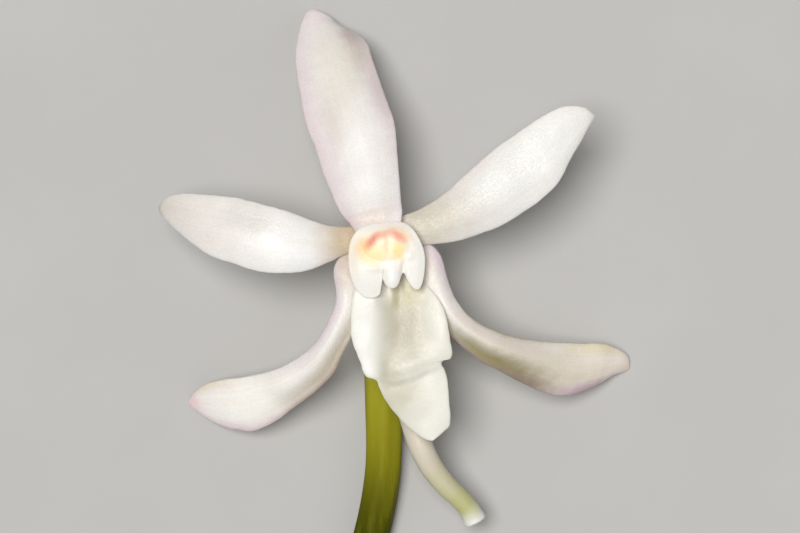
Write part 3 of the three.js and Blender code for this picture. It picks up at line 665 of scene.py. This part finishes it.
LIP_THICKNESS = 0.7
LIP_CROWDING = 1.1
MOUND_HEIGHT = 0.16
GROOVE_DEPTH = 0.07
CALLUS_HEIGHT = 0.05
CHANNEL_DEPTH = 0.1
FOLD_STEP = 0.11
MID_LOBE_SWELL = 0.12
PLEAT_HEIGHT = 0.015
lip_right_margin = [
    (0.50, 0.15), (1.20, -0.37), (1.60, -0.90), (2.07, -1.50), (2.54, -2.10), (2.94, -2.84),
    (3.18, -3.71), (3.31, -4.58), (3.44, -5.38), (3.49, -5.84), (3.34, -6.17), (2.91, -6.29),
    (2.77, -6.51), (2.96, -6.88), (3.13, -7.31), (3.23, -7.98), (3.29, -8.78), (3.34, -9.52),
    (3.38, -10.19), (3.27, -10.72), (2.87, -11.12), (2.47, -11.46), (2.20, -11.66),
]
lip_left_margin = [
    (-1.80, 0.15), (-2.54, -0.37), (-2.94, -1.04), (-3.07, -1.64), (-3.21, -2.37),
    (-3.27, -3.31), (-3.27, -4.24), (-3.14, -5.11), (-2.87, -5.84), (-2.61, -6.51),
    (-2.47, -6.98), (-2.24, -7.37), (-1.80, -7.51), (-1.54, -7.68), (-1.40, -8.05),
    (-1.14, -8.65), (-0.73, -9.32), (-0.13, -10.05), (0.53, -10.75), (1.20, -11.29),
    (1.67, -11.56), (2.00, -11.66), (2.20, -11.66),
]


def soft_line(stations, softness=0.5):
    """A function of x: the line through (x, value) stations, its corners softened."""

    def corner(x):
        if x <= stations[0][0]:
            return stations[0][1]
        for (x0, v0), (x1, v1) in zip(stations, stations[1:]):
            if x <= x1:
                return v0 + (v1 - v0) * (x - x0) / (x1 - x0)
        return stations[-1][1]

    start = stations[0][0] - 1
    step = 0.05
    count = int((stations[-1][0] + 1 - start) / step) + 2
    spread = [softness * (k / 4 - 1) for k in range(9)]
    fine = [sum(corner(start + i * step + d) for d in spread) / 9 for i in range(count)]

    def line(x):
        at = min(max((x - start) / step, 0), count - 1.001)
        i = int(at)
        return fine[i] + (fine[i + 1] - fine[i]) * (at - i)

    return line


floor_line = soft_line([(-11.7, 7.9), (-10, 8.35), (-8.5, 8.65), (-7.2, 8.75), (-0.4, 8.6)])
left_lobe_line = soft_line(
    [(-9.3, 0.0), (-7.5, 0.25), (-6.5, 0.35), (-4.5, 0.5), (-3, 0.65), (-1.2, 0.8)]
)
left_lobe_edge = soft_line(
    [
        (-9.3, -0.5), (-8.4, -1.0), (-7.5, -1.2), (-6.5, -1.35), (-5.5, -1.25), (-4.5, -1.0),
        (-3.5, -0.95), (-2.6, -1.1), (-1.6, -1.3), (-0.8, -1.44),
    ]
)
left_lobe_softness = soft_line([(-8, 0.6), (-5.5, 1.2), (-3.6, 1.0), (-2.6, 0.7), (-1.6, 0.45)])
right_lobe_line = soft_line([(-6.7, 0.0), (-5.2, 0.4), (-4, 0.45), (-0.4, 0.4)])
fold_line = soft_line(
    [
        (-1.5, -7.62), (-1.07, -7.68), (-0.62, -7.82), (-0.2, -7.8), (0.24, -7.68),
        (1.0, -7.44), (1.76, -7.05), (2.34, -6.87), (2.74, -6.62), (2.94, -6.45),
    ],
    0.15,
)
middle_line = soft_line([(-11.6, 2.2), (-8, 1.4)])


def lip_height(x, y):
    """Height of the lip's upper surface."""
    edge = left_lobe_edge(y)
    softness = left_lobe_softness(y)
    left_lobe = left_lobe_line(y) * smooth(edge + softness, edge - softness, x)
    right_lobe = right_lobe_line(y) * smooth(0.9, 3.3, x)
    from_mound = math.hypot((x - 0.95) / 1.5, (y + 6.5 - 0.25 * (x - 1)) / 0.85)
    mound = MOUND_HEIGHT * hump(0.0, 1.0, from_mound)
    groove = GROOVE_DEPTH * hump(-0.85, 0.6, x) * hump(-6.9, 1.3, y)
    callus = CALLUS_HEIGHT * hump(-0.5, 0.25, x) * smooth(-3.0, -2.0, y)
    hollow = CHANNEL_DEPTH * hump(-0.05, 0.35, x) * smooth(-3.4, -2.2, y)
    below_fold = fold_line(x) - y
    fade = smooth(-1.9, -0.2, x) * (1 - 0.5 * smooth(1.4, 2.6, x))
    step = FOLD_STEP * smooth(-0.2, 0.25, below_fold) * fade
    swell = MID_LOBE_SWELL * smooth(0.0, 2.0, below_fold) * hump(middle_line(y), 1.5, x)
    fan = math.sin(9 * math.atan2(y + 9.5, x - 1.2))
    pleats = PLEAT_HEIGHT * fan * smooth(-10.2, -11.3, y)
    plate = floor_line(y) + left_lobe + right_lobe
    return plate + mound - groove + callus - hollow - step + swell + pleats


def sheet_mesh(name, margin, far_margin, height, thickness, rings, around):
    """A soft sheet between two margins on the drawing, its top at height(x, y)."""
    ring_points = []
    ring_uvs = []
    for j in range(rings):
        t = 1 - (1 - j / rings) ** LIP_CROWDING
        a = point_on([(*p, 0) for p in margin], t)
        b = point_on([(*p, 0) for p in far_margin], t)
        half = 0.5 * thickness * math.sqrt(min(1.0, 6 * (1 - t)))
        ring = []
        uvs = []
        for i in range(around):
            angle = 2 * math.pi * i / around
            across, up = math.cos(angle), math.sin(angle)
            spot = a.lerp(b, 0.5 + 0.5 * across)
            swing = noise.noise(spot * 1.7) * 0.04 * across * abs(across)
            spot.x += swing
            top = height(spot.x, spot.y) + 0.03 * noise.noise(spot * 0.9)
            spot.z = top - half + half * math.copysign(abs(up) ** SKIN_SQUARENESS, up)
            ring.append(spot)
            uvs.append((0.5 + 0.5 * across, t))
        ring_points.append(ring)
        ring_uvs.append(uvs)
    first = Vector((*(0.5 * (Vector(margin[0]) + Vector(far_margin[0]))), 0))
    first.z = height(first.x, first.y) - 0.5 * thickness
    last = Vector((*margin[-1], 0))
    last.z = height(last.x, last.y) - 0.5 * thickness
    return closed_mesh(name, first, ring_points, last, ring_uvs, ((0.5, 0), (0.5, 1)))


lip_mesh = sheet_mesh(
    "lip_plate", lip_right_margin, lip_left_margin, lip_height, LIP_THICKNESS,
    rings=230, around=170,
)
lip_material = tissue(
    "lip tissue",
    (0.775, 0.77, 0.69),
    drawn=[
        # Channel: partly its beige tone, partly painted shade in the hollow.
        ((0.3, -4.2), (2.5, 4.8), 0, (0.53, 0.49, 0.38), 0.95),
        # Painted shade, yellowish, in the throat under the beak and the right wing.
        ((0.5, -1.7), (2.0, 1.8), 0, (0.57, 0.525, 0.345), 0.85),
        ((-2.4, -4.4), (1.5, 4.8), 0, (0.855, 0.855, 0.815), 0.9),
        # Painted light: lighter in the shade under the left wing and the beak.
        ((-1.1, -1.75), (0.6, 1.0), 0, (0.84, 0.82, 0.73), 0.85),
        # Painted shade in the hollow beside the callus.
        ((-0.35, -2.2), (0.45, 1.1), 0, (0.50, 0.455, 0.31), 0.7),
        # Painted shade in the groove above the fold.
        ((-0.8, -7.2), (1.2, 2.0), 20, (0.53, 0.505, 0.40), 0.8),
        ((1.0, -6.5), (1.3, 0.7), 15, (0.71, 0.70, 0.63), 0.6),
        ((-0.5, -8.9), (1.9, 2.2), 30, (0.63, 0.61, 0.475), 0.7),
        ((0.5, -8.4), (1.9, 1.0), 15, (0.61, 0.59, 0.47), 0.75),
        ((2.8, -9.3), (1.3, 2.4), 0, (0.88, 0.885, 0.82), 0.7),
        ((-2.0, -6.7), (1.0, 1.6), 0, (0.88, 0.88, 0.84), 0.7),
        ((1.9, -10.9), (1.3, 1.2), 0, (0.88, 0.88, 0.80), 0.8),
    ],
    relief=0.008, grain=0.35, streaks=0.0,
)
finish_piece("lip_plate", lip_mesh, "lip", lip_material)


def tube_mesh(name, line, radius, rings, around, end_shape):
    """A round body along a line; radius(t, angle) is its size, end_shape its last rings."""
    centres = [point_on(line, j / rings) for j in range(rings + 1)]
    side = None
    ring_points = []
    ring_uvs = []
    for j, centre in enumerate(centres):
        ahead = (centres[min(j + 1, rings)] - centres[max(j - 1, 0)]).normalized()
        if side is None:
            side = ahead.cross(Vector((1, 0, 0))).normalized()
        side = (side - ahead * side.dot(ahead)).normalized()
        other = side.cross(ahead)
        closing = [(1.0, lambda angle: 0.0)] if j < rings else end_shape
        for shrink, push in closing:
            ring = []
            uvs = []
            for i in range(around):
                angle = 2 * math.pi * i / around
                reach = radius(j / rings, angle) * shrink
                point = centre + side * (reach * math.cos(angle))
                point += other * (reach * math.sin(angle)) + ahead * push(angle)
                point.z = max(point.z, SURFACE)
                ring.append(point)
                uvs.append((abs(1 - 2 * i / around), j / rings))
            ring_points.append(ring)
            ring_uvs.append(uvs)
    last = sum(ring_points[-1], Vector()) / around
    return closed_mesh(name, centres[0], ring_points, last, ring_uvs, ((0.5, 0), (0.5, 1)))


spur_line = [
    (-0.84, -0.75, 8.3), (-0.86, -0.85, 7.4), (-0.80, -1.60, 6.5), (-0.41, -3.21, 5.8),
    (0.00, -5.79, 5.2), (0.54, -9.05, 4.9), (1.02, -10.95, 4.8), (1.53, -12.45, 4.7),
    (2.19, -13.69, 4.4), (3.13, -14.90, 4.0), (4.05, -15.78, 3.6), (4.64, -16.48, 3.25),
    (5.10, -17.28, 2.95),
]
spur_radii = [1.1, 1.05, 0.95, 0.88, 0.86, 0.88, 0.88, 0.85, 0.81, 0.77, 0.74, 0.76, 0.84]


def spur_radius(t, angle):
    return value_on(spur_radii, t) * (1 + 0.06 * math.cos(2 * angle) * t)


def spur_notch(depth):
    return lambda angle: depth - 0.14 * math.cos(angle) ** 2


spur_end = [
    (0.97, spur_notch(0.09)), (0.88, spur_notch(0.16)), (0.72, spur_notch(0.19)),
    (0.5, spur_notch(0.16)), (0.25, spur_notch(0.1)),
]
spur_mesh = tube_mesh("lip_spur", spur_line, spur_radius, 150, 64, spur_end)
spur_material = tissue(
    "spur tissue",
    (0.67, 0.62, 0.52),
    growth=[
        ((0.5, 0.9), (5.0, 0.34), 0, (0.53, 0.53, 0.25), 0.95),
        # Painted highlight: the end is whitened where it catches the light.
        ((0.5, 1.06), (5.0, 0.19), 0, (0.92, 0.95, 0.98), 0.95),
    ],
    relief=0.012, grain=0.5, streaks=0.0,
)
finish_piece("lip_spur", spur_mesh, "lip", spur_material)

# ------------------------------------------------------------------------------------------
# Column: the waxy white bell in the middle, one body with two wings and the beak between
# them at its lower edge. Its front holds the shallow seat of the anther.

COLUMN_CENTRE = Vector((-0.8, 0.7))
ANTHER_CENTRE = Vector((-0.94, 1.42))
ANTHER_RADII = Vector((1.72, 1.08))
EDGE_ROUNDING = 0.16
EDGE_DROP = 0.08
FOOT_HEIGHT = 5.8
WING_DROP = 0.35
BEAK_HEIGHT = 0.15
KNOB_HEIGHT = 0.1
SEAT_WALL_DEPTH = 0.25
SEAT_DEPTH = 0.45
FACE_OPENING = 0.82  # the front's rings are evenly spaced from the seat's wall to here
FACE_STEPS = 18

rim_points = [
    (-2.99, -1.43), (-3.19, -0.96), (-3.35, -0.37), (-3.43, 0.30), (-3.42, 0.96),
    (-3.32, 1.56), (-3.09, 2.09), (-2.72, 2.49), (-2.19, 2.76), (-1.59, 2.89), (-0.93, 2.96),
    (-0.27, 2.99), (0.27, 2.92), (0.70, 2.66), (1.06, 2.23), (1.36, 1.69), (1.58, 1.10),
    (1.68, 0.43), (1.65, -0.23), (1.56, -0.83), (1.45, -1.23), (1.30, -1.49), (1.06, -1.53),
    (0.83, -1.38), (0.63, -1.12), (0.43, -0.76), (0.32, -0.51), (0.21, -0.43), (0.11, -0.58),
    (0.02, -0.86), (-0.07, -1.13), (-0.23, -1.35), (-0.46, -1.45), (-0.73, -1.41),
    (-0.96, -1.22), (-1.10, -0.96), (-1.20, -0.82), (-1.32, -0.78), (-1.38, -0.93),
    (-1.37, -1.23), (-1.29, -1.56), (-1.33, -1.83), (-1.56, -2.03), (-1.93, -2.12),
    (-2.32, -2.05), (-2.69, -1.79),
]


def closed_curve(points, count):
    """Count evenly spaced points of the smooth closed curve through points."""
    fine = []
    total = len(points)
    for i in range(total):
        window = [(*points[(i + k) % total], 0) for k in (-1, 0, 1, 2)]
        fine += [point_on(window, (1 + f / 16) / 3).to_2d() for f in range(16)]
    lengths = [0.0]
    for a, b in zip(fine, fine[1:] + fine[:1]):
        lengths.append(lengths[-1] + (b - a).length)
    spaced = []
    k = 0
    for i in range(count):
        want = lengths[-1] * i / count
        while lengths[k + 1] < want:
            k += 1
        share = (want - lengths[k]) / (lengths[k + 1] - lengths[k])
        spaced.append(fine[k].lerp(fine[(k + 1) % len(fine)], share))
    return spaced


bell_rim = closed_curve(rim_points, 300)


def bell_front(x, y):
    """Height of the bell's front face, with its beak, knobs, wings and grooves."""
    face = 10.35 - 0.04 * (x + 0.8) ** 2 - 0.02 * (y - 1) ** 2 - 0.3 * smooth(2.2, 3.2, y)
    wing = WING_DROP * smooth(-0.2, -2.1, y) * smooth(-0.7, -1.7, x)
    beak = BEAK_HEIGHT * hump(-0.52, 0.42, x) * smooth(0.5, -0.4, y)
    beak -= 0.1 * smooth(-0.9, -1.5, y) * hump(-0.52, 0.6, x)
    left_groove = 0.1 * hump(-1.28 - 0.1 * (y + 0.8), 0.16, x) * smooth(0.3, -0.6, y)
    right_groove = 0.14 * hump(0.22 + 0.05 * (y + 0.4), 0.16, x) * smooth(0.6, -0.1, y)
    left_knob = KNOB_HEIGHT * hump(0, 1, math.hypot((x + 1.75) / 0.4, (y + 0.15) / 0.2))
    right_knob = KNOB_HEIGHT * hump(0, 1, math.hypot((x - 0.66) / 0.28, (y - 0.72) / 0.25))
    return face - wing + beak - left_groove - right_groove + left_knob + right_knob


def bell_ring(centre, radii, opening, height_at):
    """A ring between an oval round centre (opening 0) and the bell's rim (opening 1)."""
    start = math.atan2(bell_rim[0].y - centre.y, bell_rim[0].x - centre.x)
    ring = []
    for i, rim in enumerate(bell_rim):
        even = start - 2 * math.pi * i / len(bell_rim)
        lag = math.atan2(rim.y - centre.y, rim.x - centre.x) - even
        angle = even + 0.6 * math.atan2(math.sin(lag), math.cos(lag))
        inner = centre + Vector((radii[0] * math.cos(angle), radii[1] * math.sin(angle)))
        spot = inner.lerp(rim, opening)
        ring.append(Vector((spot.x, spot.y, height_at(spot, (spot - rim).length))))
    return ring


def rounded_front(spot, from_rim):
    left = 1 - min(from_rim / EDGE_ROUNDING, 1)
    slope = 0.12 * hump(0, 0.55, from_rim)
    return bell_front(spot.x, spot.y) - slope - EDGE_DROP * (1 - math.sqrt(1 - left**2))


def at_height(height):
    return lambda spot, from_rim: height


def behind_front(depth):
    return lambda spot, from_rim: bell_front(spot.x, spot.y) - depth


foot = (1.05, 1.05)
wall = (ANTHER_RADII.x * 0.9, ANTHER_RADII.y * 0.9)
seat = (ANTHER_RADII.x * 0.86, ANTHER_RADII.y * 0.86)
back_shape = [
    (0, at_height(FOOT_HEIGHT)), (0.02, at_height(6.6)), (0.06, at_height(7.3)),
    (0.14, at_height(7.9)), (0.3, at_height(8.4)), (0.5, at_height(8.75)),
    (0.7, behind_front(1.15)), (0.85, behind_front(0.9)), (0.95, behind_front(0.6)),
    (0.99, behind_front(0.35)),
]
edge_openings = [1, 0.995, 0.985, 0.97, 0.95, 0.925, 0.895, 0.86, FACE_OPENING]
face_openings = [FACE_OPENING * (1 - step / FACE_STEPS) for step in range(1, FACE_STEPS + 1)]
bell_rings = [bell_ring(COLUMN_CENTRE, foot, *stage) for stage in back_shape]
for opening in edge_openings + face_openings:
    bell_rings.append(bell_ring(ANTHER_CENTRE, wall, opening, rounded_front))
bell_rings += [
    bell_ring(ANTHER_CENTRE, wall, 0, behind_front(SEAT_WALL_DEPTH)),
    bell_ring(ANTHER_CENTRE, seat, 0, behind_front(SEAT_DEPTH)),
]
bell_uvs = [
    [(i / len(bell_rim), 0.0 if j < len(back_shape) else 1.0) for i in range(len(bell_rim))]
    for j in range(len(bell_rings))
]
seat_middle = bell_front(*ANTHER_CENTRE) - SEAT_DEPTH
column_mesh = closed_mesh(
    "column",
    Vector((*COLUMN_CENTRE, FOOT_HEIGHT)),
    bell_rings,
    Vector((*ANTHER_CENTRE, seat_middle)),
    bell_uvs,
    ((0.5, 0), (0.5, 1)),
)
# The cap's colors show on the column's face round its seat too. The list also holds painted
# light: a painted highlight on the right knob, and a lighter beak and left wing standing in for
# light on their rounded, shaded slopes.
anther_colors_and_painted_light = [
    ((-1.0, 1.35), (2.4, 1.7), 6, (0.94, 0.80, 0.53), 0.95),
    ((-2.35, 1.15), (0.9, 1.25), 10, (0.93, 0.62, 0.29), 0.95),
    ((-1.65, 0.65), (1.25, 1.1), -10, (0.96, 0.81, 0.45), 0.95),
    ((-0.1, 1.0), (0.8, 0.85), 0, (0.96, 0.79, 0.38), 0.9),
    ((0.15, 2.1), (0.95, 0.6), -35, (0.94, 0.68, 0.42), 0.85),
    ((-1.1, 2.1), (0.9, 0.45), 14, (0.88, 0.45, 0.285), 0.85),
    ((-0.15, 2.05), (1.0, 0.46), -36, (0.90, 0.43, 0.325), 0.95),
    ((-1.85, 1.68), (0.95, 0.48), 52, (0.71, 0.225, 0.105), 0.95),
    ((-0.9, 1.4), (0.35, 0.8), 0, (0.95, 0.78, 0.54), 0.5),
    # Painted highlight: a white spot on the right knob.
    ((0.65, 0.75), (0.6, 0.6), 0, (0.92, 0.90, 0.85), 0.85),
    ((-0.7, -0.15), (1.8, 0.8), 0, (0.91, 0.885, 0.82), 0.9),
    # Painted light: the beak is lighter where its rounded sides are shaded.
    ((-0.5, -0.8), (0.55, 0.9), 0, (0.97, 0.96, 0.93), 0.85),
    # Painted light: the left wing is lighter where its slope is shaded.
    ((-2.3, -1.2), (1.4, 1.3), 0, (0.94, 0.925, 0.885), 0.7),
]
column_material = tissue(
    "column tissue",
    (0.905, 0.885, 0.835),
    growth=[((0.5, 0.0), (5.0, 0.9), 0, (0.90, 0.88, 0.84), 1.0)],
    drawn=[
        ((-3.1, 0.8), (0.9, 2.2), 0, (0.86, 0.80, 0.68), 0.8),
        ((-0.8, 2.95), (2.8, 0.7), 0, (0.90, 0.83, 0.78), 0.85),
        *anther_colors_and_painted_light,
    ],
    relief=0.01, depth=0.06, grain=0.35, streaks=0.0,
)
finish_piece("column_bell", column_mesh, "column", column_material)

# ------------------------------------------------------------------------------------------
# Anther cap: a small waxy lid of two low domes that lies in the column's seat, cream and
# yellow, with an orange left side and a red to pink arc along its upper edge.

CAP_STEPS = 30
CAP_AROUND = 120
CAP_BACK_SIZE = 0.96
CAP_BACK_DEPTH = 0.3
CAP_SINK = 0.012
CAP_DOME = 0.12
CAP_CLEFT = 0.05


def cap_ring(spread, height_at):
    ring = []
    for i in range(CAP_AROUND):
        angle = 2 * math.pi * i / CAP_AROUND
        across_cap = spread * math.cos(angle)
        x = ANTHER_CENTRE.x + ANTHER_RADII.x * across_cap
        y = ANTHER_CENTRE.y - ANTHER_RADII.y * spread * math.sin(angle)
        ring.append(Vector((x, y, height_at(x, y, across_cap))))
    return ring


def cap_top(x, y, across_cap):
    spot = Vector((x, y))
    out = spot - ANTHER_CENTRE
    spread = min(1, math.hypot(out.x / ANTHER_RADII.x, out.y / ANTHER_RADII.y))
    face = rounded_front(spot, min((spot - rim).length for rim in bell_rim[::3])) - CAP_SINK
    cleft = CAP_CLEFT * hump(0.1, 0.12, across_cap) * (1 - spread)
    return face + CAP_DOME * (1 - spread**2) - cleft


def cap_back(x, y, across_cap):
    return bell_front(x, y) - CAP_BACK_DEPTH


cap_rings = [cap_ring(CAP_BACK_SIZE, cap_back)]
for j in range(CAP_STEPS):
    cap_rings.append(cap_ring(math.cos(0.5 * math.pi * j / CAP_STEPS), cap_top))
cap_uvs = [
    [(i / CAP_AROUND, j / len(cap_rings)) for i in range(CAP_AROUND)]
    for j in range(len(cap_rings))
]
cap_mesh = closed_mesh(
    "anther_cap",
    Vector((*ANTHER_CENTRE, cap_back(*ANTHER_CENTRE, 0))),
    cap_rings,
    Vector((*ANTHER_CENTRE, cap_top(*ANTHER_CENTRE, 0))),
    cap_uvs,
    ((0.5, 0), (0.5, 1)),
)
cap_material = tissue(
    "anther cap wax",
    (0.92, 0.90, 0.87),
    drawn=anther_colors_and_painted_light,
    relief=0.012, depth=0.06, grain=0.35, streaks=0.0,
)
finish_piece("anther_lid", cap_mesh, "anther_cap", cap_material)

# ------------------------------------------------------------------------------------------
# Stalk: ovary and flower stalk in one, fresh olive green with pale streaks and six low ribs
# that wind slowly round it. It widens into the receptacle under the flower and is cut at its
# end.

STALK_RADIUS = 1.25
STALK_RIBS = 6
STALK_RIB_SHARE = 0.035  # how far a rib stands out, as a share of the radius
STALK_TWIST = 1.6
RECEPTACLE_RADIUS = 1.5
stalk_line = [
    (-0.8, 0.75, 6.6), (-0.8, 0.7, 5.2), (-0.86, 0.35, 3.9), (-1.03, -0.55, 2.9),
    (-1.15, -1.8, 2.3), (-1.2, -3.7, 1.85), (-1.15, -6.42, 1.55), (-1.12, -9.86, 1.4),
    (-1.12, -13.3, 1.35), (-1.38, -15.71, 1.3), (-1.88, -18.12, 1.25), (-2.5, -20.19, 1.2),
]
stalk_widening = [1, 1, 1, 1.03, 1.06, 1.05, 1.02, 0.99, 0.96, 0.95]


def stalk_radius(t, angle):
    rib = STALK_RIB_SHARE * math.cos(STALK_RIBS * angle + 2 * math.pi * STALK_TWIST * t)
    stem = STALK_RADIUS * value_on(stalk_widening, t) * (1 + rib)
    return RECEPTACLE_RADIUS + (stem - RECEPTACLE_RADIUS) * smooth(0, 0.1, t)


cut_end = [
    (0.97, lambda angle: 0.03), (0.93, lambda angle: 0.035), (0.85, lambda angle: 0.0),
    (0.6, lambda angle: -0.05), (0.3, lambda angle: -0.02),
]
stalk_mesh = tube_mesh("pedicel", stalk_line, stalk_radius, 200, 120, cut_end)

stalk_skin, w, given, result = node_group(
    "Stalk skin",
    {kind: COLOR for kind in ("Collar", "Top", "Middle", "Shaded_end", "Pale", "Cut")},
    {"Color": COLOR, "Roughness": NUMBER, "Height": NUMBER},
)
split = w.add("ShaderNodeSeparateXYZ")
w.join(w.growth(), split.inputs[0])
along = split.outputs["Y"]
in_mm = w.drawing()
streaks = w.noise(w.vector("MULTIPLY", in_mm, (1.0, 0.1, 1.0)), 2.2, 4.0, 0.6)
grain = w.noise(in_mm, 6.0, 3.0, 0.6)
color = w.blend(w.ramp(along, 0.0, 0.22), given["Collar"], given["Top"])
color = w.blend(w.ramp(along, 0.3, 0.7), color, given["Middle"])
# Painted shade: the stalk goes very dark towards its cut end.
color = w.blend(w.ramp(along, 0.5, 0.95), color, given["Shaded_end"])
color = w.blend(w.ramp(streaks, 0.45, 0.75, 0.0, 0.2), color, given["Pale"])
color = w.blend(w.ramp(along, 0.996, 0.9995), color, given["Cut"])
color = w.blend(w.ramp(grain, 0.3, 0.8, 0.0, 0.5), color, (0.88, 0.88, 0.78), "MULTIPLY")
w.join(color, result["Color"])
w.join(w.ramp(grain, 0.3, 0.7, 0.5, 0.65), result["Roughness"])
w.join(w.math("MULTIPLY_ADD", streaks, 0.7, w.math("MULTIPLY", grain, 0.3)), result["Height"])

stalk_material = bpy.data.materials.new("stalk skin")
stalk_material.use_nodes = True
w = Wiring(stalk_material.node_tree)
skin = w.add("ShaderNodeGroup", node_tree=stalk_skin)
w.join((0.74, 0.73, 0.55), skin.inputs["Collar"])
w.join((0.39, 0.36, 0.07), skin.inputs["Top"])
w.join((0.37, 0.345, 0.02), skin.inputs["Middle"])
# Painted shade: the near-black colour towards the cut end.
w.join((0.055, 0.058, 0.0), skin.inputs["Shaded_end"])
w.join((0.34, 0.33, 0.02), skin.inputs["Pale"])
w.join((0.50, 0.52, 0.30), skin.inputs["Cut"])
wear_skin(w, skin, relief=0.03, depth=0.4, share=0.15, colors=(1.0, 0.9, 0.3), shine=0.05)
finish_piece("stalk", stalk_mesh, "pedicel", stalk_material)
